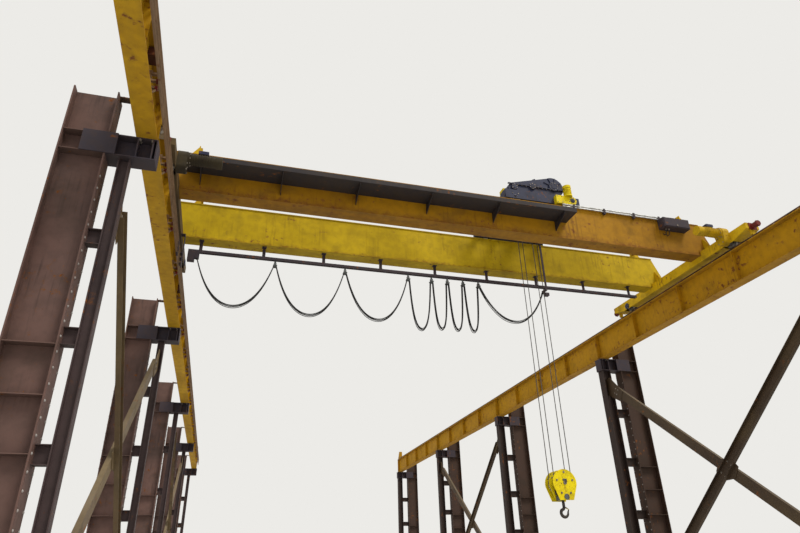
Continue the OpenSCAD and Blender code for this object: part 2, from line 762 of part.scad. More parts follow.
gearbox_t = 190;
gearbox_y = bridge_y - bearing_y - 70 - gearbox_t / 2;

// Gear case between drum shaft and motor shaft: one big and one small round end on a long foot
module hoist_gearbox() {
  motor_dx = motor_x - drum_axis_x;
  small_r = 140;
  big_r = 270;
  color("#3d4650") translate([drum_axis_x, gearbox_y, 0]) difference() {
    union() {
      along_y(gearbox_t) translate([0, drum_axis_z]) circle(r = big_r, $fn = 96);
      along_y(gearbox_t) translate([motor_dx, motor_axis_z]) circle(r = small_r, $fn = 96);
      along_y(gearbox_t) polygon([
        [0, drum_axis_z + big_r], [motor_dx - 20, motor_axis_z + small_r - 1],
        [motor_dx - 20, frame_top + 20], [0, frame_top + 20]
      ]);
      block([end_beam_x - drum_axis_x - cross_beam_w / 2, -gearbox_t / 2, frame_top],
            [drum_beam_x - drum_axis_x + cross_beam_w / 2, gearbox_t / 2, frame_top + 50]);
      translate([0, 0, drum_axis_z]) along_y(gearbox_t + 30) circle(r = 90, $fn = 64);
    }
    translate([0, gearbox_t / 2 + 20, drum_axis_z]) rotate([90, 0, 0])
      cylinder(h = 160, d = shaft_d + 2 * seat, center = true, $fn = 64);
  }
}

motor_l = 620;
motor_start_y = gearbox_y + gearbox_t / 2 + seat;

// Ribbed hoist motor with its fan cowl, on two feet
module hoist_motor() {
  color("gold") translate([motor_x, motor_start_y, motor_axis_z]) rotate([-90, 0, 0]) {
    cylinder(h = 50, d = 276, $fn = 64);
    cylinder(h = motor_l, d = 250, $fn = 64);
    for (i = [0 : 9]) translate([0, 0, 80 + i * 40]) cylinder(h = 14, d = 276, $fn = 64);
    translate([0, 0, motor_l - 110]) cylinder(h = 110, d = 282, $fn = 64);
    for (z = [120, 400]) translate([-130, 80, z]) cube([260, motor_axis_z - frame_top - 80, 60]);
    translate([-90, -200, 180]) cube([180, 80, 200]);
  }
}

// Brake on the far end of the motor's shaft
module hoist_brake() {
  start_y = motor_start_y + motor_l + seat;
  color("#3d4650") translate([motor_x, start_y, motor_axis_z]) rotate([-90, 0, 0]) {
    cylinder(h = 90, d = 220, $fn = 64);
    translate([0, 0, 90]) cylinder(h = 40, d = 150, $fn = 64);
  }
}

// Profile of a grooved sheave, revolved about its axis
module sheave(pitch_d, width, bore) {
  r = pitch_d / 2;
  rim = r + rope_d;
  groove = r - rope_d / 2 - seat;
  rotate_extrude($fn = 96) polygon([
    [bore / 2, -width / 2 - 6], [bore / 2 + 20, -width / 2 - 6], [bore / 2 + 20, -8], [r - 36, -8],
    [r - 24, -width / 2], [rim, -width / 2], [rim, -width / 2 + 4], [r, -rope_d / 2 - 3],
    [groove, -4], [groove, 4],
    [r, rope_d / 2 + 3], [rim, width / 2 - 4], [rim, width / 2], [r - 24, width / 2], [r - 36, 8],
    [bore / 2 + 20, 8], [bore / 2 + 20, width / 2 + 6], [bore / 2, width / 2 + 6]
  ]);
}

sheave_w = 50;
pin_d = 70;
plate_gap = sheave_w + 14 + 2 * seat;

// Small sheave between two plates on the middle cross beam, its pin along the span
module equalizer_sheave() {
  color("#3d4650") translate([equalizer_x, bridge_y, equalizer_z]) {
    rotate([0, 90, 0]) sheave(sheave_spacing, sheave_w, 50);
    rotate([0, 90, 0]) cylinder(h = plate_gap + 40, d = 50, center = true, $fn = 48);
    rotate([90, 0, 90]) rotate_extrude(angle = 180, $fn = 96)
      translate([sheave_spacing / 2, 0]) circle(d = rope_d, $fn = 24);
  }
}

module equalizer_plates() {
  for (s = [-1, 1]) translate([equalizer_x + s * (plate_gap / 2 + 6), bridge_y, 0]) difference() {
    along_x(12) polygon([
      [-70, equalizer_z + 70], [70, equalizer_z + 70],
      [sheave_spacing / 2 + 90, frame_top], [-sheave_spacing / 2 - 90, frame_top]
    ]);
    translate([0, 0, equalizer_z]) rotate([0, 90, 0])
      cylinder(h = 20, d = 50 + seat, center = true, $fn = 48);
  }
}

// Gear case outside the near side truck on the right axle, its travel motor standing on top
module trolley_drive() {
  near_outer_y = near_y - side_truck_w / 2;
  case_t = 110;
  case_half_h = 108;
  case_l = 420;
  drive_x = -100;
  motor_h = 270;
  case_y = near_outer_y - case_t / 2 - seat;
  color("gold") translate([trolley_x + trolley_base / 2, case_y, trolley_axle_z]) {
    difference() {
      union() {
        along_y(case_t) circle(r = case_half_h, $fn = 64);
        block([-case_l, -case_t / 2, -case_half_h], [0, case_t / 2, case_half_h]);
      }
      translate([0, case_t / 2, 0]) rotate([90, 0, 0])
        cylinder(h = 60, d = 60 + 2 * seat, center = true, $fn = 64);
    }
    translate([drive_x, case_t / 2 - 105, case_half_h]) {
      translate([0, 0, -20]) cylinder(h = 36, d = 200, $fn = 64);
      cylinder(h = motor_h, d = 168, $fn = 64);
      for (i = [0 : 3]) translate([0, 0, 40 + i * 36]) cylinder(h = 12, d = 188, $fn = 64);
      translate([0, 0, motor_h - 70]) cylinder(h = 70, d = 192, $fn = 64);
    }
  }
}

tow_plate_y = far_y - girder_width / 2 - 40;

// Arm from the frame down past the far girder, and back under it to the tow clamp and its box
module tow_arm() {
  arm = 50;
  plate_t = 16;
  foot_z = track_bottom - 75;
  low_z = foot_z - arm;
  color(steel_dark) {
    translate([tow_x - arm / 2, 0, 0]) {
      block([0, tow_plate_y - plate_t, low_z], [arm, tow_plate_y, frame_top]);
      block([0, tow_plate_y - plate_t, frame_top - 60], [arm, far_y - side_truck_w / 2, frame_top]);
      block([0, tow_plate_y, low_z], [arm, track_y + 30, foot_z]);
    }
    block([tow_x - 40, track_y - 45, cable_z + cable_d / 2 + seat], [tow_x + 40, track_y + 45, low_z]);
    block([tow_x + cable_rest + seat, track_y - 50, cable_z - 50], [tow_x + 140, track_y + 50, low_z]);
  }
}

// Four straight falls: two from the drum, two from the equalizer
module hoist_ropes() {
  low = block_z + seat;
  falls = [[trolley_x + sheave_d / 2, drum_axis_z], [equalizer_x, equalizer_z - seat]];
  color("#4a4a48") for (fall = falls, j = [-1, 1])
    translate([fall[0], bridge_y + j * sheave_spacing / 2, low])
      cylinder(h = fall[1] - low, d = rope_d, $fn = 24);
}

// Outline of a cheek plate about the sheave centre: round top, tapering to the crosshead
function cheek_outline() = concat(
  [for (a = [-10 : 10 : 190]) [cheek_half * cos(a), cheek_half * sin(a)]],
  [[-150, -cheek_low], [150, -cheek_low]]
);

module block_cheeks() {
  plate_t = 14;
  color("gold") translate([trolley_x, bridge_y, block_z]) for (y = [-block_half_y, 0, block_half_y])
    translate([0, y, 0]) difference() {
      along_y(plate_t) polygon(cheek_outline());
      rotate([90, 0, 0]) cylinder(h = 40, d = pin_d + seat, center = true, $fn = 64);
      if (y == 0) block([-160, -20, -cheek_low - through], [160, 20, -cheek_half + 150]);
      else translate([0, 0, crosshead_z - block_z]) rotate([90, 0, 0])
        cylinder(h = 40, d = 60 + seat, center = true, $fn = 64);
    }
}

// Two sheaves on one pin
module block_sheaves() {
  color("dimgray") translate([trolley_x, bridge_y, block_z]) {
    for (j = [-1, 1]) translate([0, j * sheave_spacing / 2, 0])
      rotate([90, 0, 0]) sheave(sheave_d, sheave_w, pin_d + seat);
    rotate([90, 0, 0]) cylinder(h = 2 * block_half_y + 50, d = pin_d, center = true, $fn = 64);
  }
}

// Half turn of rope in the groove of each block sheave
module rope_turns() {
  color("#4a4a48") for (j = [-1, 1])
    translate([trolley_x, bridge_y + j * sheave_spacing / 2, block_z]) rotate([90, 0, 0])
      rotate([0, 0, 180]) rotate_extrude(angle = 180, $fn = 96)
        translate([sheave_d / 2, 0]) circle(d = rope_d, $fn = 24);
}

// Forged cross piece that swivels in the cheeks and holds the hook's shank
module crosshead() {
  color("#3d4650") translate([trolley_x, bridge_y, crosshead_z]) difference() {
    union() {
      rotate([90, 0, 0]) cylinder(h = 2 * block_half_y + 40, d = 60, center = true, $fn = 64);
      cube([130, 2 * block_half_y - 34, crosshead_h], center = true);
    }
    cylinder(h = 200, d = shank_d + 2 * seat, center = true, $fn = 64);
  }
}

shank_d = 56;
hook_z = crosshead_z - 280;

// Centre line of the hook in X and Z: a straight shank, a bowl and a raised tip
hook_path = concat(
  [for (z = [190 : -30 : 100]) [0, z]],
  [[-6, 82], [-22, 66]],
  [for (a = [140 : 20 : 360]) [hook_r * cos(a), hook_r * sin(a)]],
  [[hook_r + 6, 26], [hook_r + 18, 50]]
);
function hook_radius(i) = let (u = i / (len(hook_path) - 1))
  u < 0.2 ? shank_d / 2
  : u < 0.62 ? shank_d / 2 + (hook_thick / 2 - shank_d / 2) * (u - 0.2) / 0.42
  : hook_thick / 2 - (hook_thick / 2 - 12) * (u - 0.62) / 0.38;

// Tube of changing radius swept along a list of points in one plane
module swept(path, radii, sides) {
  n = len(path);
  function tangent(i) = let (a = path[max(i - 1, 0)], b = path[min(i + 1, n - 1)]) (b - a) / norm(b - a);
  rings = [for (i = [0 : n - 1], k = [0 : sides - 1]) let (
    t = tangent(i), normal = [t[1], 0, -t[0]], c = 360 * k / sides
  ) [path[i][0], 0, path[i][1]] + radii[i] * (cos(c) * normal + sin(c) * [0, 1, 0])];
  polyhedron(rings, concat(
    [[for (k = [0 : sides - 1]) k]],
    [for (i = [0 : n - 2], k = [0 : sides - 1]) let (a = i * sides + k, b = i * sides + (k + 1) % sides)
      [a, a + sides, b + sides, b]],
    [[for (k = [sides - 1 : -1 : 0]) (n - 1) * sides + k]]
  ));
}

module hook() {
  color("#2c2c2e") translate([trolley_x, bridge_y, hook_z]) {
    swept(hook_path, [for (i = [0 : len(hook_path) - 1]) hook_radius(i)], 20);
    translate([0, 0, 185]) cylinder(h = crosshead_z - hook_z - 185 + 60, d = shank_d, $fn = 64);
    translate([0, 0, crosshead_z - hook_z + crosshead_h / 2 + seat]) cylinder(h = 40, d = 104, $fn = 6);
  }
}

module hook_latch() {
  color("gold") translate([trolley_x, bridge_y, hook_z]) along_y(22) polygon([
    [shank_d / 2 + seat, 102], [shank_d / 2 + seat, 88], [hook_r + 12, 60], [hook_r + 30, 60],
    [hook_r + 30, 68], [hook_r + 12, 70]
  ]);
}

function cosh(v) = (exp(v) + exp(-v)) / 2;
function sinh(v) = (exp(v) - exp(-v)) / 2;
function asinh(v) = sign(v) * ln(abs(v) + sqrt(v * v + 1));

// Scale of the hanging curve a * cosh(x / a) that is this wide and hangs this deep, found in steps
function curve_scale(width, drop, a, steps) = let (depth = a * (cosh(width / 2 / a) - 1))
  steps == 0 ? a : curve_scale(width, drop, a * (1 + 0.5 * (depth - drop) / (depth + drop)), steps - 1);

// Loop between two stops, its points closest together round the bottom
function loop_points(a, b, drop) =
  let (width = b - a - 2 * cable_rest)
  let (scale = curve_scale(width, drop, width / 2, 60), bend = width / 2 / scale)
  [for (share = [-0.85, -0.55, -0.3, -0.15, -0.07, -0.03, 0, 0.03, 0.07, 0.15, 0.3, 0.55, 0.85])
    let (x = scale * asinh(sinh(bend) * share))
    [(a + b) / 2 + x, cable_z - drop + scale * (cosh(x / scale) - 1)]];

// Cable through its stops: a flat rest under each stop and a hanging loop between two stops
cable_path = [for (i = [0 : len(cable_stops) - 1]) each concat(
  [[cable_stops[i] - cable_rest, cable_z], [cable_stops[i] + cable_rest, cable_z]],
  i < len(cable_stops) - 1 ? loop_points(cable_stops[i], cable_stops[i + 1], loop_drops[i]) : []
)];

module festoon_cable() {
  color("#1c1c1c") translate([0, track_y, 0])
    swept(cable_path, [for (p = cable_path) cable_d / 2], 8);
}

// Two rollers inside the track, a stem through its slot and a saddle that clamps the cable
module carrier(x) {
  roller_d = 36;
  lip_top = track_bottom + track_t;
  saddle_low = cable_z + cable_d / 2 + seat;
  color("#44403a") translate([x, track_y, 0]) {
    translate([0, 0, lip_top + roller_d / 2 + seat]) {
      rotate([90, 0, 0]) cylinder(h = 12, d = 12, center = true, $fn = 24);
      for (j = [-1, 1]) translate([0, j * 14, 0]) rotate([90, 0, 0])
        cylinder(h = 18, d = roller_d, center = true, $fn = 32);
    }
    block([-20, -5, track_bottom - 60], [20, 5, lip_top + roller_d / 2 + 8]);
    block([-28, -30, saddle_low], [28, 30, track_bottom - 60]);
  }
}

main_columns();
crane_legs();
base_plates();
battens();
head_beams();
rising_braces();
falling_braces();
brace_gussets();
runway_beams();
beam_ties();
runway_rails();
runway_stops();
conductor_bars();
conductor_brackets();
girder(near_y);  // near_girder
girder(far_y);  // far_girder
end_truck(-1);  // end_truck_left
end_truck(1);  // end_truck_right
bridge_wheels();
buffers();
trolley_rails();
trolley_stops();
footwalk();
bridge_drives();
drive_panel();
festoon_track();
collector();
trolley_frame();
trolley_wheels();
hoist_drum();
drum_bearings();
hoist_gearbox();
hoist_motor();
hoist_brake();
equalizer_sheave();
trolley_drive();
tow_arm();
hoist_ropes();
block_cheeks();
block_sheaves();
rope_turns();
crosshead();
hook();
hook_latch();
carrier(carrier_x[0]);  // carrier_1
carrier(carrier_x[1]);  // carrier_2
carrier(carrier_x[2]);  // carrier_3
carrier(carrier_x[3]);  // carrier_4
carrier(carrier_x[4]);  // carrier_5
carrier(carrier_x[5]);  // carrier_6
carrier(carrier_x[6]);  // carrier_7
festoon_cable();
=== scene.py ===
import json
import math

import bmesh
import bpy
from mathutils import Matrix, Vector


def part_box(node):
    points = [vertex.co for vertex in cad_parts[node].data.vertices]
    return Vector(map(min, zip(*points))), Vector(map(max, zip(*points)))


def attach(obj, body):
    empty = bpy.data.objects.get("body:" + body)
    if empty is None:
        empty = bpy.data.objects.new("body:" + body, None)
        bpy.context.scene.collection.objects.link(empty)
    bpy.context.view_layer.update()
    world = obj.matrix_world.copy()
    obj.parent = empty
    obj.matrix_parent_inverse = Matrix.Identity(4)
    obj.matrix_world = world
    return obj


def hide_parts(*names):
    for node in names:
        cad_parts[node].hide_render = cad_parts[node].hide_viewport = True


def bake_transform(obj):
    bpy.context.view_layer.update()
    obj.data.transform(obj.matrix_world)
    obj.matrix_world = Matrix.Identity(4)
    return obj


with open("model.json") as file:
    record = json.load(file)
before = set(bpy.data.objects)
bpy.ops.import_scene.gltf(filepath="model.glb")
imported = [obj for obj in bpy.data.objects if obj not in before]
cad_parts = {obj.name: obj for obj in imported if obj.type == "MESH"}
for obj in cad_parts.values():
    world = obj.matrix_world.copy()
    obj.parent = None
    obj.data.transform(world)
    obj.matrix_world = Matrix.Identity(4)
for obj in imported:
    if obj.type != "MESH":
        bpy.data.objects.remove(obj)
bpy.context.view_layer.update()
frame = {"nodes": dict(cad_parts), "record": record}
nodes = frame["nodes"]

# Boxes of the nodes that the fittings stand on, in metres
near_low, near_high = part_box("near_girder")
far_low, far_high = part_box("far_girder")
rail_low, rail_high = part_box("runway_rails")
beam_low, beam_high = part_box("runway_beams")
bars_low, bars_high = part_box("conductor_bars")
leg_low, leg_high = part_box("crane_legs")
column_low, column_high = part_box("main_columns")
base_low, base_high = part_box("base_plates")
truck_low, truck_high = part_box("end_truck_right")
wheel_low, wheel_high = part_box("bridge_wheels")
walk_low, walk_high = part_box("footwalk")
frame_low, frame_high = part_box("trolley_frame")
drum_low, drum_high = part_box("hoist_drum")
motor_low, motor_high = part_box("hoist_motor")
gear_low, gear_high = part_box("hoist_gearbox")
sheave_low, sheave_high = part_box("block_sheaves")
cheek_low, cheek_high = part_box("block_cheeks")
rope_low, rope_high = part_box("hoist_ropes")
cable_low, cable_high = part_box("festoon_cable")

# Places of the runway
bays = 5
bay = 7.5
column_lines = [(k - bays / 2) * bay for k in range(bays + 1)]
rail_x = (truck_low.x + truck_high.x) / 2
column_inner_x = column_high.x - 0.6
leg_half = {-1: 0.075, 1: 0.125}
leg_x = {-1: -leg_low.x - leg_half[-1], 1: leg_high.x - leg_half[1]}
web_x = -rail_x + 0.006

# Places of the bridge, the trolley and the hook block
near_y = (near_low.y + near_high.y) / 2
far_y = (far_low.y + far_high.y) / 2
bridge_y = (near_y + far_y) / 2
wheel_reach = 1.9
axle_z = (wheel_low.z + wheel_high.z) / 2
deck_z = frame_low.z + 0.23
shaft_z = deck_z + 0.165
drum = (drum_low + drum_high) / 2
motor_x = (motor_low.x + motor_high.x) / 2
block = (cheek_low + cheek_high) / 2
block_z = (sheave_low.z + sheave_high.z) / 2

# Directions and repeats
both = (-1, 1)
corners = [(i, j) for i in both for j in both]
columns = [(s, y) for s in both for y in column_lines]
up, down, back, front = (0, 0, 1), (0, 0, -1), (0, 1, 0), (0, -1, 0)


class Wire:
    """An output of a tree's nodes. Sums and products of wires add Math nodes."""

    def __init__(self, maker, socket):
        self.maker = maker
        self.socket = socket

    def math(self, operation, first, second):
        return self.maker.node("ShaderNodeMath", {"operation": operation}, {0: first, 1: second})

    def __add__(self, other):
        return self.math("ADD", self, other)

    def __sub__(self, other):
        return self.math("SUBTRACT", self, other)

    def __rsub__(self, other):
        return self.math("SUBTRACT", other, self)

    def __mul__(self, other):
        return self.math("MULTIPLY", self, other)

    __radd__ = __add__
    __rmul__ = __mul__


class Maker:
    """Makes every node of one tree from its type, its settings and its sockets' values or wires."""

    def __init__(self, tree):
        self.tree = tree

    def node(self, kind, settings, sockets, output=0):
        made = self.tree.nodes.new(kind)
        for name, value in settings.items():
            setattr(made, name, value)
        for place, value in sockets.items():
            if isinstance(value, Wire):
                self.tree.links.new(value.socket, made.inputs[place])
            else:
                made.inputs[place].default_value = value
        return Wire(self, made.outputs[output])


class Finish(Maker):
    """The nodes of one finish, with the few mixtures that all the finishes share."""

    def __init__(self, name):
        self.material = bpy.data.materials.new(name)
        self.material.use_nodes = True
        super().__init__(self.material.node_tree)
        self.shader = self.tree.nodes["Principled BSDF"]
        self.fine = 1.0
        self.place = self.node("ShaderNodeTexCoord", {}, {}, "Object")
        self.across, self.along, self.up = self.parts(self.place)
        facing = self.parts(self.node("ShaderNodeNewGeometry", {}, {}, "Normal"))[2]
        self.top = self.step(facing, 0.4, 0.9)
        self.under = self.step(facing, -0.4, -0.9)

    def parts(self, vector):
        """The X, Y and Z parts of a vector."""
        split = self.node("ShaderNodeSeparateXYZ", {}, {0: vector}).socket.node
        return [Wire(self, output) for output in split.outputs]

    def step(self, wire, low, high):
        """0 where wire is at low and 1 where it is at high, with a smooth rise between them."""
        settings = {"interpolation_type": "SMOOTHSTEP"}
        return self.node("ShaderNodeMapRange", settings, {0: wire, 1: low, 2: high})

    def cloud(self, size, detail=4.0, stretch=(1, 1, 1), shift=0.0):
        """Noise with lumps about size metres across, drawn out along the axes by stretch."""
        squeeze = tuple(1 / (size * self.fine * s) for s in stretch)
        sockets = {0: self.place, 1: squeeze, 2: (shift, shift, shift)}
        place = self.node("ShaderNodeVectorMath", {"operation": "MULTIPLY_ADD"}, sockets)
        return self.node("ShaderNodeTexNoise", {}, {"Vector": place, "Scale": 1.0, "Detail": detail})

    def blend(self, factor, first, second):
        """Mixes two colours, each a wire or three numbers."""
        sockets = {0: factor}
        for place, colour in ((6, first), (7, second)):
            sockets[place] = colour if isinstance(colour, Wire) else (*colour, 1.0)
        return self.node("ShaderNodeMix", {"data_type": "RGBA"}, sockets, 2)

    def bump(self, height, depth):
        """Feeds the shader's normal from a height wire, depth metres from 0 to 1."""
        normal = self.node("ShaderNodeBump", {}, {"Height": height, "Distance": depth, "Strength": 1.0})
        self.tree.links.new(normal.socket, self.shader.inputs["Normal"])

    def set(self, **sockets):
        """Sets the shader's own sockets, named in lower case with _ for a space."""
        for name, value in sockets.items():
            socket = self.shader.inputs[name.replace("_", " ").title()]
            if isinstance(value, Wire):
                self.tree.links.new(value.socket, socket)
            else:
                socket.default_value = value
        return self.material


rust_dark = (0.085, 0.026, 0.010)
rust_light = (0.27, 0.095, 0.022)
rust_stain = (0.17, 0.065, 0.018)
# Dark soot colour, used for smudges and also as the painted shade on undersides.
soot_and_shade = (0.040, 0.032, 0.024)
dust = (0.26, 0.22, 0.16)
# Near-black used as a painted shade on the left half of the crane.
grease = (0.020, 0.018, 0.015)


def worn_paint(
    name, fresh, faded, drip, rusting=0.5, dirt=0.5, gloss=0.45, lip=None, dusty=0.55, way=(1, 1, 1),
    fine=1.0, shaded_left=False, right=None,
):
    """Brushed enamel gone dull: faded areas, drip marks, soot, rust spots and dust on top.

    lip is the lowest and highest height of a band in which rust creeps up from a lower edge.
    way draws out the smoky film on undersides along the piece, over the painted shade that all undersides
    get. fine shrinks the marks on small pieces. The left-half flag paints shade: it blackens the pieces on
    the left half of the crane. right is also
    a painted shade: the darker colour of those on its right half."""
    coat = Finish(name)
    coat.fine = fine
    areas = coat.step(coat.cloud(1.5, 4.0, shift=3.1), 0.34, 0.66)
    mottle = coat.step(coat.cloud(0.13, 5.0, shift=11.2), 0.36, 0.70)
    drips = coat.step(coat.cloud(0.055, 3.0, (1, 1, 16), 7.7), 0.50, 0.72)
    broad = coat.step(coat.cloud(0.7, 4.0, (1.4, 1.4, 1), 1.9), 0.40, 0.64)
    smudge = coat.step(coat.cloud(0.42, 6.0, (1.3, 1.3, 1), 4.4), 0.47, 0.76)
    grain = coat.cloud(0.016, 5.0, shift=5.0)
    spots = coat.cloud(0.11, 7.0, shift=9.3)
    speck = coat.cloud(0.035, 3.0, shift=2.9)

    paint = coat.blend(areas, fresh, faded)
    # Painted shade: pieces on the crane's right half are darkened towards right.
    if right:
        paint = coat.blend(coat.step(coat.across, -0.5, 0.5) * (0.85 - areas * 0.25), paint, right)
    paint = coat.blend(mottle * 0.22, paint, drip)
    paint = coat.blend(drips * broad * (1 - coat.under) * (0.25 + 0.5 * dirt), paint, drip)
    paint = coat.blend(smudge * (0.7 * dirt), paint, soot_and_shade)

    worn = spots + (grain - 0.5) * 0.16 + (broad - 0.5) * 0.12
    stain = coat.step(worn, 0.64 - 0.10 * rusting, 0.76 - 0.10 * rusting)
    eaten = coat.step(worn, 0.72 - 0.10 * rusting, 0.78 - 0.10 * rusting)
    eaten = eaten + coat.step(speck, 0.74 - 0.06 * rusting, 0.80 - 0.06 * rusting) * (1 - eaten)
    if lip:
        creep = coat.step(coat.up + (coat.cloud(0.22, 6.0, shift=2.2) - 0.5) * 0.22, lip[1], lip[0])
        ragged = coat.step(coat.cloud(0.06, 6.0, (1.6, 1.6, 1), 6.1) + (grain - 0.5) * 0.2, 0.42, 0.62)
        creep = creep * (1 - coat.under * 0.8)
        stain = stain + creep * 0.55 * (1 - stain)
        eaten = eaten + creep * ragged * 0.8 * (1 - eaten)
    paint = coat.blend(stain * 0.45, paint, rust_stain)
    rust = coat.blend(coat.step(grain, 0.34, 0.66), rust_dark, rust_light)
    paint = coat.blend(eaten * 0.9, paint, rust)

    # Painted shade: pieces on the crane's left half are blackened.
    if shaded_left:
        paint = coat.blend(coat.step(coat.across, 0.5, -0.5) * (0.93 + areas * 0.05), paint, grease)
    paint = coat.blend(coat.top * (0.45 + broad * 0.45) * dusty, paint, dust)
    # Painted shade on undersides, even over them, with a streaky soot film added on top.
    film = coat.step(coat.cloud(0.30, 5.0, way, 8.8), 0.36, 0.66)
    paint = coat.blend(coat.under * (0.10 + 0.20 * dirt + film * (0.35 * dirt)), paint, soot_and_shade)

    rough = (1 - gloss) + areas * 0.10 + smudge * 0.12 + eaten * 0.22 + coat.top * 0.15
    coat.bump(grain * 0.25 + coat.cloud(0.006, 2.0) * 0.12 - eaten * 0.5 + mottle * 0.1, 0.0015)
    coat.shader.inputs["Specular IOR Level"].default_value = 0.22
    return coat.set(base_color=paint, roughness=rough, metallic=0.0)


def rolled_rail(name):
    """Rail steel: brown rust on the sides, a bright running band on the head."""
    coat = Finish(name)
    grain = coat.cloud(0.012, 5.0)
    blotch = coat.cloud(0.22, 5.0, (1, 2, 1), 3.0)
    brown = coat.blend(coat.step(blotch, 0.40, 0.62), (0.055, 0.030, 0.018), (0.19, 0.085, 0.035))
    band = coat.top * coat.step(coat.cloud(0.05, 3.0, (1, 30, 1), 8.0), 0.34, 0.46)
    steel = coat.blend(coat.step(grain, 0.35, 0.65), (0.42, 0.40, 0.37), (0.60, 0.58, 0.54))
    coat.bump(grain * (1 - band), 0.001)
    colour = coat.blend(band, brown, steel)
    return coat.set(base_color=colour, roughness=0.85 - band * 0.55, metallic=band * 0.9)


def bare_steel(name, colour, greasy, rough=0.42):
    """Machined or galvanised steel, stained by grease and dust."""
    coat = Finish(name)
    grain = coat.cloud(0.01, 5.0)
    stain = coat.step(coat.cloud(0.09, 5.0, shift=6.0), 0.42, 0.64)
    dark, light = (tuple(c * share for c in colour) for share in (0.8, 1.2))
    steel = coat.blend(coat.step(grain, 0.3, 0.7), dark, light)
    steel = coat.blend(stain * greasy, steel, (0.030, 0.024, 0.018))
    steel = coat.blend(coat.top * 0.35, steel, dust)
    coat.bump(grain + stain * 0.5, 0.0006)
    rough = rough + stain * 0.22 + grain * 0.1
    return coat.set(base_color=steel, roughness=rough, metallic=0.75 - stain * 0.5 * greasy)


def wire_rope(name):
    """Greased wire rope whose strands lie slantwise round it."""
    coat = Finish(name)
    slant = coat.up * 330 + coat.across * 160 + coat.along * 160
    strand = coat.step(coat.node("ShaderNodeMath", {"operation": "SINE"}, {0: slant}), -0.9, 0.9)
    greasy = coat.step(coat.cloud(0.07, 4.0, (1, 1, 4)), 0.40, 0.65)
    steel = coat.blend(strand, (0.020, 0.018, 0.016), (0.20, 0.19, 0.17))
    steel = coat.blend(greasy * 0.7, steel, (0.028, 0.022, 0.015))
    coat.bump(strand, 0.002)
    return coat.set(base_color=steel, roughness=0.45 + greasy * 0.2, metallic=0.55 - greasy * 0.4)


def rubber(name, colour):
    """Dusty rubber sheath with a faint mould grain."""
    coat = Finish(name)
    grain = coat.cloud(0.008, 4.0)
    film = coat.step(coat.cloud(0.25, 5.0, (1, 1, 2)), 0.40, 0.68)
    dusted = tuple(c * 1.5 + 0.035 for c in colour)
    sheath = coat.blend(film * 0.5 + coat.top * 0.4, colour, dusted)
    coat.bump(grain, 0.0005)
    return coat.set(base_color=sheath, roughness=0.62 + grain * 0.2 + film * 0.1, metallic=0.0)


def forged(name):
    """Forged hook steel: dark scale, rubbed bright where slings lie in the bowl."""
    coat = Finish(name)
    scale = coat.cloud(0.02, 6.0)
    rub = coat.top * coat.step(coat.cloud(0.05, 4.0, shift=2.0), 0.35, 0.60)
    dark = coat.blend(coat.step(scale, 0.38, 0.62), (0.016, 0.015, 0.015), (0.075, 0.060, 0.050))
    coat.bump(scale, 0.0015)
    colour = coat.blend(rub, dark, (0.38, 0.36, 0.33))
    return coat.set(base_color=colour, roughness=0.62 - rub * 0.30 + scale * 0.1, metallic=0.30 + rub * 0.55)


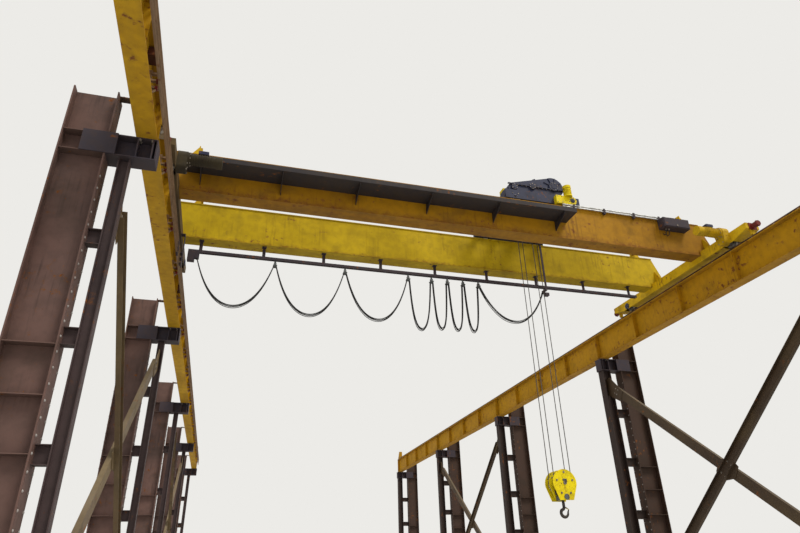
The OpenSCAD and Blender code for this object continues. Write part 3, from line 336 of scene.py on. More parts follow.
paints = {
    # Near girder: the crane's yellow, darkened as a painted shade of its shaded web.
    "near_shaded_yellow": dict(
        fresh=(0.41, 0.200, 0.002), faded=(0.31, 0.146, 0.002), drip=(0.12, 0.050, 0.004),
        rusting=0.45, dirt=0.46, gloss=0.32, lip=(near_low.z - 0.02, near_low.z + 0.16), way=(5, 0.6, 1),
    ),
    # Far girder: the crane's yellow, brightened as a painted light of its lamp-lit part.
    "far_lit_yellow": dict(
        fresh=(0.61, 0.430, 0.002), faded=(0.46, 0.320, 0.002), drip=(0.18, 0.105, 0.004),
        rusting=0.30, dirt=0.40, gloss=0.32, lip=(near_low.z - 0.03, near_low.z + 0.10), way=(5, 0.6, 1),
    ),
    "truck_yellow": dict(
        fresh=(0.76, 0.500, 0.004), faded=(0.60, 0.380, 0.005), drip=(0.18, 0.09, 0.006),
        rusting=0.5, dirt=0.5, gloss=0.35, way=(0.6, 3, 1),
    ),
    # Left end truck: the crane's yellow darkened to brown as a painted shade.
    "truck_shaded_brown": dict(
        fresh=(0.125, 0.083, 0.030), faded=(0.088, 0.062, 0.032), drip=(0.045, 0.030, 0.016),
        rusting=0.6, dirt=0.75, gloss=0.30, way=(0.6, 3, 1),
    ),
    "drive_yellow": dict(
        fresh=(0.62, 0.400, 0.005), faded=(0.50, 0.310, 0.006), drip=(0.14, 0.07, 0.008),
        # Left bridge drive blackened as a painted shade.
        rusting=0.45, dirt=0.6, gloss=0.40, fine=0.5, shaded_left=True,
    ),
    "runway_yellow": dict(
        fresh=(0.62, 0.365, 0.003), faded=(0.48, 0.270, 0.003), drip=(0.18, 0.075, 0.005),
        rusting=0.55, dirt=0.34, gloss=0.30, lip=(beam_low.z - 0.03, beam_low.z + 0.10), way=(0.6, 7, 1),
        # right: painted shade on the right runway beam.
        right=(0.46, 0.228, 0.003),
    ),
    "column_brown": dict(
        fresh=(0.152, 0.088, 0.075), faded=(0.106, 0.067, 0.059), drip=(0.045, 0.031, 0.028),
        # right: painted shade on the right-hand columns and bases.
        rusting=0.35, dirt=0.6, gloss=0.35, lip=(-0.1, 0.6), right=(0.036, 0.019, 0.010),
    ),
    "leg_plum": dict(
        fresh=(0.070, 0.047, 0.048), faded=(0.054, 0.038, 0.040), drip=(0.030, 0.022, 0.022),
        # right: painted shade on the right-hand legs.
        rusting=0.35, dirt=0.5, gloss=0.38, lip=(-0.1, 0.6), right=(0.026, 0.015, 0.010),
    ),
    "brace_brown": dict(
        fresh=(0.130, 0.085, 0.040), faded=(0.175, 0.125, 0.060), drip=(0.05, 0.032, 0.022),
        # right: painted shade on the right-hand braces.
        rusting=0.4, dirt=0.5, right=(0.040, 0.024, 0.016),
    ),
    "bracket_black": dict(
        fresh=(0.034, 0.029, 0.042), faded=(0.050, 0.040, 0.052), drip=(0.080, 0.045, 0.028),
        rusting=0.35, dirt=0.3, gloss=0.4, dusty=0.5,
    ),
    "walk_navy": dict(
        fresh=(0.020, 0.018, 0.024), faded=(0.032, 0.028, 0.030), drip=(0.070, 0.045, 0.022),
        rusting=0.4, dirt=0.3, gloss=0.45,
    ),
    "machine_navy": dict(
        fresh=(0.020, 0.026, 0.072), faded=(0.036, 0.042, 0.082), drip=(0.018, 0.015, 0.014),
        rusting=0.38, dirt=0.62, gloss=0.50, fine=0.6,
    ),
    "machine_grey": dict(
        fresh=(0.10, 0.125, 0.14), faded=(0.14, 0.155, 0.16), drip=(0.02, 0.018, 0.015),
        rusting=0.35, dirt=0.7, gloss=0.5, fine=0.5,
    ),
    "block_yellow": dict(
        fresh=(0.92, 0.75, 0.002), faded=(0.84, 0.66, 0.004), drip=(0.26, 0.17, 0.010),
        rusting=0.32, dirt=0.45, gloss=0.42, dusty=0.4, fine=0.4,
    ),
    "buffer_red": dict(
        fresh=(0.20, 0.018, 0.014), faded=(0.14, 0.02, 0.016), drip=(0.03, 0.015, 0.012),
        rusting=0.4, dirt=0.6, fine=0.5,
    ),
    "oxide_red": dict(
        fresh=(0.11, 0.026, 0.014), faded=(0.075, 0.024, 0.016), drip=(0.03, 0.015, 0.012),
        rusting=0.5, dirt=0.6, fine=0.6,
    ),
    "bar_brown": dict(
        fresh=(0.30, 0.19, 0.11), faded=(0.36, 0.25, 0.16), drip=(0.08, 0.055, 0.04),
        rusting=0.2, dirt=0.55, gloss=0.3,
    ),
    # Pale rivet heads: a painted highlight along the column flanges.
    "rivet_highlight_pale": dict(
        fresh=(0.42, 0.40, 0.39), faded=(0.30, 0.27, 0.26), drip=(0.10, 0.08, 0.07), rusting=0.4, dirt=0.4,
    ),
}
finishes = {name: worn_paint(name, **look) for name, look in paints.items()}
finishes |= {
    "rail": rolled_rail("rail"),
    "wheel_steel": bare_steel("wheel_steel", (0.30, 0.28, 0.25), 0.85, 0.45),
    "drum_steel": bare_steel("drum_steel", (0.34, 0.33, 0.31), 0.9, 0.38),
    "bolt_steel": bare_steel("bolt_steel", (0.33, 0.29, 0.25), 0.7, 0.5),
    "conduit_zinc": bare_steel("conduit_zinc", (0.50, 0.51, 0.50), 0.35, 0.4),
    "wire_rope": wire_rope("wire_rope"),
    "cable_black": rubber("cable_black", (0.014, 0.014, 0.015)),
    "hook_steel": forged("hook_steel"),
}

painted = {
    "near_shaded_yellow": ["near_girder"],
    "far_lit_yellow": ["far_girder"],
    "truck_yellow": ["end_truck_right", "trolley_stops"],
    "truck_shaded_brown": ["end_truck_left"],
    "drive_yellow": ["bridge_drives"],
    "runway_yellow": ["runway_beams", "runway_stops"],
    "column_brown": ["main_columns", "base_plates", "beam_ties"],
    "leg_plum": ["crane_legs", "battens"],
    "brace_brown": ["rising_braces", "falling_braces", "brace_gussets"],
    "bracket_black": ["head_beams", "festoon_track", "collector", "tow_arm", "drive_panel"],
    "walk_navy": ["footwalk"],
    "machine_navy": ["trolley_frame", "drum_bearings", "hoist_gearbox"],
    "machine_grey": ["hoist_brake", "crosshead"] + [f"carrier_{i}" for i in range(1, 8)],
    "block_yellow": ["block_cheeks", "hoist_motor", "trolley_drive", "hook_latch"],
    "buffer_red": ["buffers"],
    "bar_brown": ["conductor_bars", "conductor_brackets"],
    "rail": ["runway_rails", "trolley_rails"],
    "wheel_steel": ["bridge_wheels", "trolley_wheels", "block_sheaves", "equalizer_sheave"],
    "drum_steel": ["hoist_drum"],
    "wire_rope": ["hoist_ropes", "rope_turns"],
    "cable_black": ["festoon_cable"],
    "hook_steel": ["hook"],
}
for finish, names in painted.items():
    for name in names:
        nodes[name].data.materials.clear()
        nodes[name].data.materials.append(finishes[finish])


def at(x, y, z):
    return Matrix.Translation((x, y, z))


def turn(axis_from, axis_to):
    """Rotation that takes one axis to another."""
    return Vector(axis_from).rotation_difference(Vector(axis_to)).to_matrix().to_4x4()


def along_x(x, y, z, way=1):
    """Place for an outline drawn in Y and Z and pushed along X; way -1 turns it round in Y."""
    return Matrix(((0, 0, 1, x), (way, 0, 0, y), (0, 1, 0, z), (0, 0, 0, 1)))


def along_y(x, y, z, way=1):
    """Place for an outline drawn in X and Z and pushed along Y; way -1 turns it round in X."""
    return Matrix(((way, 0, 0, x), (0, 0, 1, y), (0, 1, 0, z), (0, 0, 0, 1)))


def circle(centre, radius, count, start=0.0, first=(1, 0, 0), second=up):
    """Places on a circle, from start radians on, in the plane of the axes first and second."""
    centre, first, second = Vector(centre), Vector(first), Vector(second)
    angles = [start + 2 * math.pi * i / count for i in range(count)]
    return [centre + radius * (math.cos(a) * first + math.sin(a) * second) for a in angles]


class Shape:
    """Points and faces of one piece, gathered from simple forms before its mesh is made."""

    def __init__(self):
        self.points = []
        self.faces = []

    def rings(self, points, count, sides, place=Matrix()):
        """Closed skin over count rings of points, with a cap at each end."""
        faces = [list(range(sides))[::-1], [(count - 1) * sides + i for i in range(sides)]]
        for r in range(count - 1):
            for i in range(sides):
                a, b = r * sides + i, r * sides + (i + 1) % sides
                faces.append([a, b, b + sides, a + sides])
        start = len(self.points)
        self.points += [place @ Vector(p) for p in points]
        self.faces += [[start + i for i in face] for face in faces]
        return self

    def block(self, corner, opposite, bevel=0.0):
        """Box between two opposite corners, with cut edges round its top and bottom."""
        low = [min(a, b) for a, b in zip(corner, opposite)]
        high = [max(a, b) for a, b in zip(corner, opposite)]
        levels = [(low[2], 0), (high[2], 0)]
        if bevel:
            levels = [(low[2], bevel), (low[2] + bevel, 0), (high[2] - bevel, 0), (high[2], bevel)]
        points = []
        for z, cut in levels:
            left, right, near, far = low[0] + cut, high[0] - cut, low[1] + cut, high[1] - cut
            points += [(left, near, z), (right, near, z), (right, far, z), (left, far, z)]
        return self.rings(points, len(levels), 4)

    def pad(self, foot, half_x, half_y, height, bevel=0.0):
        """Box that stands on foot and reaches half_x and half_y from it."""
        x, y, z = foot
        return self.block((x - half_x, y - half_y, z), (x + half_x, y + half_y, z + height), bevel)

    def turned(self, profile, place=Matrix(), sides=24):
        """Solid turned about its local z from radius and height pairs."""
        points = [p for r, z in profile for p in circle((0, 0, z), r, sides, second=back)]
        return self.rings(points, len(profile), sides, place)

    def pushed(self, outline, depth, place=Matrix()):
        """Flat outline pushed along its local z by depth."""
        points = [(x, y, z) for z in (0.0, depth) for x, y in outline]
        return self.rings(points, 2, len(outline), place)

    def bolt(self, foot, axis, across=0.03, height=0.018):
        """Hexagon head with a cut crown on a round washer, standing on foot along axis."""
        place = Matrix.Translation(foot) @ Vector(axis).to_track_quat("Z", "Y").to_matrix().to_4x4()
        washer = across * 0.72
        washer_t = height * 0.18
        self.turned([(washer, 0.0), (washer, washer_t)], place, 12)
        head = across / 2 / math.cos(math.pi / 6)
        profile = [(head, washer_t), (head, height * 0.85), (head * 0.82, height)]
        return self.turned(profile, place, 6)

    def tube(self, path, radius, sides=10):
        """Round tube along a list of points, its rings turned as little as possible."""
        path = [Vector(p) for p in path]
        ahead = (path[1] - path[0]).normalized()
        side = ahead.orthogonal().normalized()
        points = []
        for i, p in enumerate(path):
            step = (path[min(i + 1, len(path) - 1)] - path[max(i - 1, 0)]).normalized()
            side = (ahead.rotation_difference(step) @ side).normalized()
            ahead = step
            r = radius(i / (len(path) - 1)) if callable(radius) else radius
            points += circle(p, r, sides, first=side, second=step.cross(side))
        return self.rings(points, len(path), sides)

    def piece(self, name, body, finish, slot, smooth=35, blend=None, stands_for=()):
        """Makes the mesh, gives it its finish, and fixes it to its body; with blend, it only bakes its place
        into the mesh and leaves it unparented.
        """
        mesh = bpy.data.meshes.new(name)
        mesh.from_pydata([tuple(p) for p in self.points], [], self.faces)
        skin = bmesh.new()
        skin.from_mesh(mesh)
        bmesh.ops.dissolve_degenerate(skin, dist=1e-6, edges=skin.edges)
        bmesh.ops.recalc_face_normals(skin, faces=skin.faces)
        skin.to_mesh(mesh)
        skin.free()
        mesh.validate()
        mesh.materials.append(finishes[finish])
        for polygon in mesh.polygons:
            polygon.use_smooth = True
        mesh.set_sharp_from_angle(angle=math.radians(smooth))
        made = bpy.data.objects.new(name, mesh)
        bpy.context.scene.collection.objects.link(made)
        if blend:
            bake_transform(made)
        else:
            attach(made, body)
        if stands_for:
            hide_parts(*stands_for)


def rail_clips():
    """Clip plate with a bolt on each side of both runway rails."""
    clips, bolts = Shape(), Shape()
    pitch, clip_t, half_y = 0.6, 0.014, 0.045
    reach = (rail_high.y - rail_low.y) / 2 - 0.3
    count = int(2 * reach / pitch)
    z = beam_high.z
    for s in both:
        for i in range(count + 1):
            y = -reach + i * 2 * reach / count
            for j in both:
                x = s * rail_x + j * 0.088
                nose = s * rail_x + j * 0.052
                clips.pad((x, y, z), 0.032, half_y, clip_t, 0.002)
                clips.pad((nose, y, z + clip_t - 0.0005), 0.009, half_y, 0.0085)
                bolts.bolt((x + j * 0.006, y, z + clip_t), up)
    clips.piece("rail_clips", "runway", "rail", "rail_steel")
    bolts.piece("rail_clip_bolts", "runway", "bolt_steel", "rail_steel")


def column_bolts():
    """Bolts of the runway beams on their brackets, of the brackets on the columns, and of the bases."""
    bolts = Shape()
    flange_t, pad_t, clasp_t = 0.018, 0.016, 0.018
    edge = 0.055
    base_inner_x = rail_x - leg_half[1] - 0.1
    stud = [(0.0135, 0), (0.0135, 0.075), (0.011, 0.08)]
    for s, y in columns:
        for e in both:
            for dx, dy in [(j * 0.085, e * step) for j in both for step in (0.05, 0.115)]:
                if column_lines[0] < y + e < column_lines[-1]:
                    spot = Vector((s * rail_x + dx, y + dy, beam_low.z))
                    bolts.bolt(spot + Vector((0, 0, flange_t)), up, 0.036, 0.02)
                    bolts.bolt(spot - Vector((0, 0, pad_t)), down, 0.036, 0.024)
            for z in (0.07, 0.15, 0.23, 0.31):
                spot = (s * (column_inner_x - clasp_t), y + e * 0.07, leg_high.z + z)
                bolts.bolt(spot, (-s, 0, 0), 0.032)
            for x in (base_high.x - edge, base_inner_x + edge):
                foot = Vector((s * x, y + e * 0.195, base_high.z))
                bolts.bolt(foot, up, 0.041, 0.03)
                bolts.turned(stud, Matrix.Translation(foot), 12)
    bolts.piece("column_bolts", "runway", "bolt_steel", "column_paint")


def column_rivets():
    """Rows of rivet heads along the flanges of the main columns."""
    rivets = Shape()
    dome = [(0.018, 0.0), (0.015, 0.007), (0.008, 0.0115), (0.001, 0.013)]
    pitch, gauge = 0.19, 0.112
    lowest, highest = 0.55, leg_high.z - 0.15
    count = int((highest - lowest) / pitch)
    for s, y in columns:
        for x, out in ((column_inner_x, -1), (column_high.x, 1)):
            face = turn(up, (s * out, 0, 0))
            for j in both:
                for i in range(count):
                    rivets.turned(dome, at(s * x, y + j * gauge, lowest + i * pitch) @ face, 8)
    # The pale rivet finish stands for painted highlights along the flanges.
    rivets.piece("column_rivets", "runway", "rivet_highlight_pale", "column_paint")


def base_ribs():
    """Stiffening ribs between the base plates and the flanges of the columns."""
    ribs = Shape()
    t, lip = 0.012, 0.03
    for s, y in columns:
        spots = [(column_high.x, y + j * 0.10, 1, 0.085, 0.26) for j in both]
        spots += [(x, y, -1, 0.09, 0.22) for x in (column_inner_x, leg_x[s] - leg_half[s])]
        for x, middle, out, reach, height in spots:
            outline = [(0.0, 0.0), (reach, 0.0), (reach, lip), (t, height), (0.0, height)]
            ribs.pushed(outline, t, along_y(s * x, middle - t / 2, base_high.z, s * out))
    ribs.piece("base_ribs", "runway", "column_brown", "column_paint")


def column_plates():
    """Plates across the web of the main columns, behind the brackets and at three lower levels."""
    plates = Shape()
    flange_t, web_half, half_t, reach = 0.02, 0.006, 0.006, 0.146
    for s, y in columns:
        for z in (2.82, 3.46, 4.06, leg_high.z + 0.01, leg_high.z + 0.33):
            for j in both:
                inner = (s * (column_inner_x + flange_t), y + j * web_half, z - half_t)
                outer = (s * (column_high.x - flange_t), y + j * reach, z + half_t)
                plates.block(inner, outer, 0.002)
    plates.piece("column_plates", "runway", "column_brown", "column_paint")


def tie_bolts():
    """Bolts at both ends of the flat ties between the runway beams and the main columns."""
    bolts = Shape()
    edge = 0.045
    for s, y in columns:
        for x in (beam_high.x + edge, column_inner_x - edge):
            for j in both:
                bolts.bolt((s * x, y + j * 0.032, beam_high.z), up, 0.030, 0.018)
    bolts.piece("tie_bolts", "runway", "bolt_steel", "column_paint")


def bar_fittings():
    """Struts and insulators of the bar brackets, and joint sleeves on the bars."""
    struts, insulators, sleeves = Shape(), Shape(), Shape()
    bar_half, bar_pitch, arm_half = 0.022, 0.12, 0.016
    heights = [bars_low.z + bar_half + bar_pitch * i for i in range(3)]
    arm_z = heights[0] - arm_half
    strut = [
        (web_x, arm_z - 0.165), (web_x, arm_z - 0.13),
        (bars_low.x - 0.05, arm_z), (bars_low.x - 0.02, arm_z),
    ]
    ribbed = [
        (0.029, 0), (0.040, 0.004), (0.040, 0.010), (0.031, 0.015),
        (0.031, 0.021), (0.040, 0.026), (0.040, 0.032), (0.029, 0.036),
    ]
    for start in column_lines[:-1]:
        for share in (1 / 8, 3 / 8, 5 / 8, 7 / 8):
            y = start + share * bay
            struts.pushed(strut, 2 * arm_half, along_y(0, y - arm_half, 0))
            for z in heights:
                insulators.turned(ribbed, at(bars_low.x - 0.052, y, z) @ turn(up, (1, 0, 0)), 20)
        y = start + bay / 2
        for z in heights:
            inner = (bars_low.x - 0.007, y - 0.08, z - bar_half - 0.005)
            sleeves.block(inner, (bars_high.x + 0.001, y + 0.08, z + bar_half + 0.005), 0.003)
    struts.piece("bar_struts", "runway", "bar_brown", "bar_cover")
    insulators.piece("bar_insulators", "runway", "buffer_red", "buffer_red")
    sleeves.piece("bar_sleeves", "runway", "bracket_black", "bar_cover")


def runway_conduits():
    """Two conduits along the left runway with clips and couplings, and the boxes that they feed."""
    conduit, boxes = Shape(), Shape()
    pipe_x = -beam_high.x + 0.288
    wall = 0.005
    for z, radius in ((beam_high.z - 0.09, 0.017), (beam_high.z - 0.145, 0.012)):
        conduit.tube([(pipe_x, bars_low.y + 0.3, z), (pipe_x, bars_high.y - 0.3, z)], radius, 12)
        coupling = [(radius + 0.004, 0.0), (radius + 0.004, 0.05)]
        for start in column_lines[:-1]:
            for share in (0.25, 0.5, 0.75):
                y = start + share * bay
                inner = (pipe_x - 0.028, y - 0.012, z - radius - wall)
                conduit.block(inner, (pipe_x + radius + 0.003, y + 0.012, z + radius + wall), 0.002)
            for y in (start + 1.3, start + 4.9):
                conduit.turned(coupling, at(pipe_x, y, z) @ turn(up, back), 12)
    lid = 0.006
    for y in column_lines:
        for offset, half, shape in ((-1.1, 0.10, boxes), (0.5, 0.07, conduit)):
            if column_lines[0] < y + offset < column_lines[-1]:
                low = (web_x, y + offset - half, beam_high.z - 0.185)
                high = (pipe_x + 0.012, y + offset + half, beam_high.z - 0.045)
                shape.block(low, high, 0.004)
                lid_low = (high[0] - 0.001, low[1] - lid, low[2] + 0.002)
                shape.block(lid_low, (high[0] + 0.004, high[1] + lid, high[2] - 0.002), 0.002)
    conduit.piece("runway_conduit", "runway", "conduit_zinc", "dark_paint")
    boxes.piece("runway_boxes", "runway", "oxide_red", "dark_paint")


def brace_bolts():
    """Two rows of bolts through the braces at their gussets and where they cross."""
    bolts = Shape()
    gusset_half, brace_t, gauge = 0.006, 0.010, 0.065
    foot_z, head_z = 0.5, leg_high.z - 0.4
    slope = math.atan2(head_z - foot_z, bay)
    length = math.hypot(head_z - foot_z, bay)
    ends = (0.47, 0.57, length - 0.57, length - 0.47)
    crossing = (length / 2 - 0.16, length / 2 + 0.16)
    for s, rise in corners:
        for line in (column_lines[1], column_lines[3]):
            start = Vector((0, line, foot_z if rise > 0 else head_z))
            way = Vector((0, math.cos(slope), rise * math.sin(slope)))
            side = Vector((0, -way.z, way.y))
            for near in (*ends, *crossing):
                for j in both:
                    p = start + way * near + side * j * gauge
                    outer = s * (leg_x[s] + rise * (gusset_half + brace_t))
                    inner = s * (leg_x[s] - rise * gusset_half)
                    bolts.bolt((outer, p.y, p.z), (s * rise, 0, 0), 0.032)
                    if near in ends:
                        bolts.bolt((inner, p.y, p.z), (-s * rise, 0, 0), 0.032)
    bolts.piece("brace_bolts", "runway", "bolt_steel", "column_paint")


def truck_fittings():
    """Bearing caps over the axle ends, joint plates, lifting eyes and rail sweeps."""
    caps, bolts = Shape(), Shape()
    sides = {-1: Shape(), 1: Shape()}
    cap = [(0.085, 0), (0.085, 0.012), (0.068, 0.014), (0.060, 0.026), (0.0, 0.026)]
    joint = [(-0.16, 0.0), (0.16, 0.0), (0.16, 0.10), (0.05, 0.26), (-0.05, 0.26), (-0.16, 0.10)]
    joint_bolts = ((-0.12, 0.06), (0.0, 0.06), (0.12, 0.06), (-0.07, 0.15), (0.07, 0.15), (0.0, 0.21))
    knee = [(0.0, 0.0), (0.22, 0.0), (0.22, 0.03), (0.03, 0.36), (0.0, 0.36)]
    lug = [(-0.05, 0.0), (0.05, 0.0), (0.03, 0.07), (0.0, 0.085), (-0.03, 0.07)]
    joint_t, knee_t, lug_t = 0.014, 0.010, 0.016
    half_w = (truck_high.x - truck_low.x) / 2
    truck_reach, lug_reach = 2.5, 1.2
    top = truck_high.z
    for s, e in corners:
        plates, middle = sides[s], s * rail_x
        wheel_y = bridge_y + e * wheel_reach
        for out in both:
            if e > 0 or out == s:
                face = middle + out * half_w
                caps.turned(cap, at(face, wheel_y, axle_z) @ turn(up, (out, 0, 0)), 32)
                centre = (face + out * 0.012, wheel_y, axle_z)
                for foot in circle(centre, 0.074, 6, 0.5, (0, 0, -out), back):
                    bolts.bolt(foot, (out, 0, 0), 0.015, 0.010)
        end_y = bridge_y + e * truck_reach
        low = (middle - 0.05, end_y - e * 0.02, rail_high.z + 0.012)
        plates.block(low, (middle + 0.05, end_y - e * 0.06, rail_high.z + 0.15), 0.004)
        plates.pushed(lug, lug_t, along_x(middle - lug_t / 2, bridge_y + e * lug_reach, top))
        for girder_y in (near_y, far_y):
            face = girder_y + e * 0.18
            place = Matrix(((1, 0, 0, middle), (0, e, 0, face), (0, 0, 1, top), (0, 0, 0, 1)))
            plates.pushed(joint, joint_t, place)
            for x, reach in joint_bolts:
                bolts.bolt((middle + x, face + e * reach, top + joint_t), up, 0.028)
            knee_place = along_x(middle - knee_t / 2, girder_y + e * 0.16, top + joint_t, e)
            plates.pushed(knee, knee_t, knee_place)
    caps.piece("truck_bearing_caps", "bridge", "machine_navy", "dark_paint")
    bolts.piece("truck_bolts", "bridge", "bolt_steel", "rail_steel")
    # The left truck's plates carry its painted shade.
    sides[-1].piece("truck_plates_left", "bridge", "truck_shaded_brown", "crane_yellow")
    sides[1].piece("truck_plates_right", "bridge", "truck_yellow", "crane_yellow")


def girder_seams():
    """Weld beads round each girder: along both plates and at each inner diaphragm."""
    # The near girder's finish carries a painted shade and the far girder's a painted light.
    girders = (("near", "near_shaded_yellow", near_low, near_high), ("far", "far_lit_yellow", far_low, far_high))
    plate_t, lip, bead = 0.016, 0.02, 0.008
    for name, paint, low, high in girders:
        seams = Shape()
        for side in both:
            y = (low.y + high.y) / 2 + side * ((high.y - low.y) / 2 - lip)
            for z, lift, reach in ((high.z - plate_t, -1, 6.1), (low.z + plate_t, 1, 5.9)):
                outline = [(0, 0), (side * bead, 0), (0, lift * bead)]
                seams.pushed(outline, 2 * reach, along_x(-reach, y, z))
            for i in range(-2, 3):
                x = i * 2.2 + 0.35
                inner = (x - bead, y - side * 0.001, low.z + 0.018)
                seams.block(inner, (x + bead, y + side * 0.003, high.z - 0.018), 0.002)
        seams.piece(f"girder_seams_{name}", "bridge", paint, "crane_yellow")


def girder_conduit():
    """Conduit on short posts along the near girder's top edge, from the footwalk to the right drive."""
    posts, pipes = Shape(), Shape()
    y = near_low.y - 0.035
    z = near_high.z + 0.02
    start, stop = walk_high.x - 0.05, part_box("bridge_drives")[1].x - 0.45
    for x in (2.62, 3.42, 4.22, 4.92):
        low = (x - 0.025, near_low.y - 0.06, near_high.z - 0.10)
        posts.block(low, (x + 0.025, near_low.y, near_high.z + 0.045), 0.004)
    corner, drop = 0.12, 0.28
    pipes.tube([
        (start, y, z), (stop - corner, y, z), (stop - corner * 0.35, y, z - corner * 0.12),
        (stop - corner * 0.05, y, z - corner * 0.5), (stop, y, z - corner), (stop, y, z - drop),
    ], 0.017, 12)
    thin_y, thin_z = y - 0.001, z - 0.05
    thin = [(start, thin_y, thin_z), (stop - 0.06, thin_y, thin_z), (stop - 0.055, thin_y, z - drop)]
    pipes.tube(thin, 0.012, 10)
    posts.piece("conduit_posts", "bridge", "bracket_black", "dark_paint")
    pipes.piece("girder_conduit", "bridge", "conduit_zinc", "dark_paint")


def drive_fittings():
    """Terminal boxes and flange bolts of the two bridge drives."""
    boxes, bolts = Shape(), Shape()
    wheel_y = bridge_y - wheel_reach
    shaft = axle_z + 0.19
    case_in = 5.7547
    for s in both:
        low = (s * (case_in - 0.35), wheel_y - 0.08, shaft + 0.10)
        boxes.block(low, (s * (case_in - 0.17), wheel_y + 0.08, shaft + 0.172), 0.006)
        for foot in circle((s * (case_in - 0.04), wheel_y, shaft), 0.112, 8, 0.39, back):
            bolts.bolt(foot, (-s, 0, 0), 0.018, 0.012)
        for foot in circle((s * case_in, wheel_y, axle_z), 0.09, 4, 0.78, back):
            bolts.bolt(foot, (-s, 0, 0), 0.02, 0.014)
    boxes.piece("drive_boxes", "bridge", "machine_navy", "dark_paint")
    bolts.piece("drive_bolts", "bridge", "bolt_steel", "rail_steel")


def trolley_rail_clips():
    """Welded clips on both sides of the two trolley rails."""
    clips = Shape()
    pitch, clip_t = 0.7, 0.014
    count = int((2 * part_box("trolley_rails")[1].x - 0.3) / pitch)
    z = near_high.z
    for y in (near_y, far_y):
        for i in range(count + 1):
            x = (i - count / 2) * pitch
            for j in both:
                clips.block((x - 0.03, y + j * 0.0255, z), (x + 0.03, y + j * 0.075, z + clip_t), 0.003)
                clips.bolt((x, y + j * 0.056, z + clip_t), up, 0.018, 0.009)
    clips.piece("trolley_rail_clips", "bridge", "rail", "rail_steel")


def gearbox_fittings():
    """Split flange, ribs, bearing covers, breather and bolts of the hoist's gear case."""
    case, bolts = Shape(), Shape()
    face = gear_low.y + 0.015
    split_z, split_half = drum.z - 0.075, 0.014
    low = (motor_x - 0.155, face - 0.035, split_z - split_half)
    case.block(low, (drum.x + 0.285, face, split_z + split_half), 0.003)
    for i in range(13):
        x = motor_x - 0.115 + i * 0.106
        bolts.bolt((x, face - 0.018, split_z + split_half), up, 0.019, 0.012)
        bolts.bolt((x, face - 0.018, split_z - split_half), down, 0.019, 0.016)
    covers = (
        (drum.x, drum.z, 0.125, 8), (motor_x, shaft_z, 0.078, 6),
        ((drum.x + motor_x) / 2 - 0.05, split_z, 0.085, 6),
    )
    cover_t, hub_t = 0.042, 0.05
    for x, z, r, count in covers:
        profile = [
            (r, 0.0), (r, cover_t - 0.006), (r * 0.94, cover_t),
            (r * 0.55, cover_t), (r * 0.5, hub_t), (0.002, hub_t),
        ]
        case.turned(profile, at(x, face, z) @ turn(up, front), 40)
        for foot in circle((x, face - cover_t, z), r * 0.80, count, math.pi / count):
            bolts.bolt(foot, front, 0.017, 0.010)
    for degrees in (35, 75, 115, 155):
        angle = math.radians(degrees)
        way = Vector((math.cos(angle), 0, math.sin(angle)))
        start, edge = (Vector((drum.x, 0, drum.z)) + way * reach for reach in (0.13, 0.262))
        side = Vector((-way.z, 0, way.x)) * 0.006
        outline = [start - side, edge - side, edge + side, start + side]
        case.rings([(p.x, y, p.z) for y in (face - 0.02, face) for p in outline], 2, 4)
    lid = Vector((drum.x - 0.42, face + 0.095, drum.z + 0.155))
    lid_top = lid + Vector((0, 0, 0.012))
    case.block(lid - Vector((0.09, 0.07, 0.02)), lid_top + Vector((0.09, 0.07, 0)), 0.004)
    for dx, dy in corners:
        bolts.bolt(lid_top + Vector((dx * 0.07, dy * 0.05, 0)), up, 0.016, 0.01)
    breather = [(0.012, 0.0), (0.012, 0.03), (0.026, 0.032), (0.028, 0.052), (0.018, 0.062), (0.001, 0.064)]
    case.turned(breather, Matrix.Translation(lid_top), 20)
    for x in (gear_low.x + 0.05, gear_high.x - 0.05):
        for dy in (0.045, 0.145):
            bolts.bolt((x, face + dy, deck_z + 0.05), up, 0.036, 0.024)
    case.piece("gearbox_case_parts", "trolley", "machine_navy", "dark_paint")
    bolts.piece("gearbox_bolts", "trolley", "bolt_steel", "rail_steel")


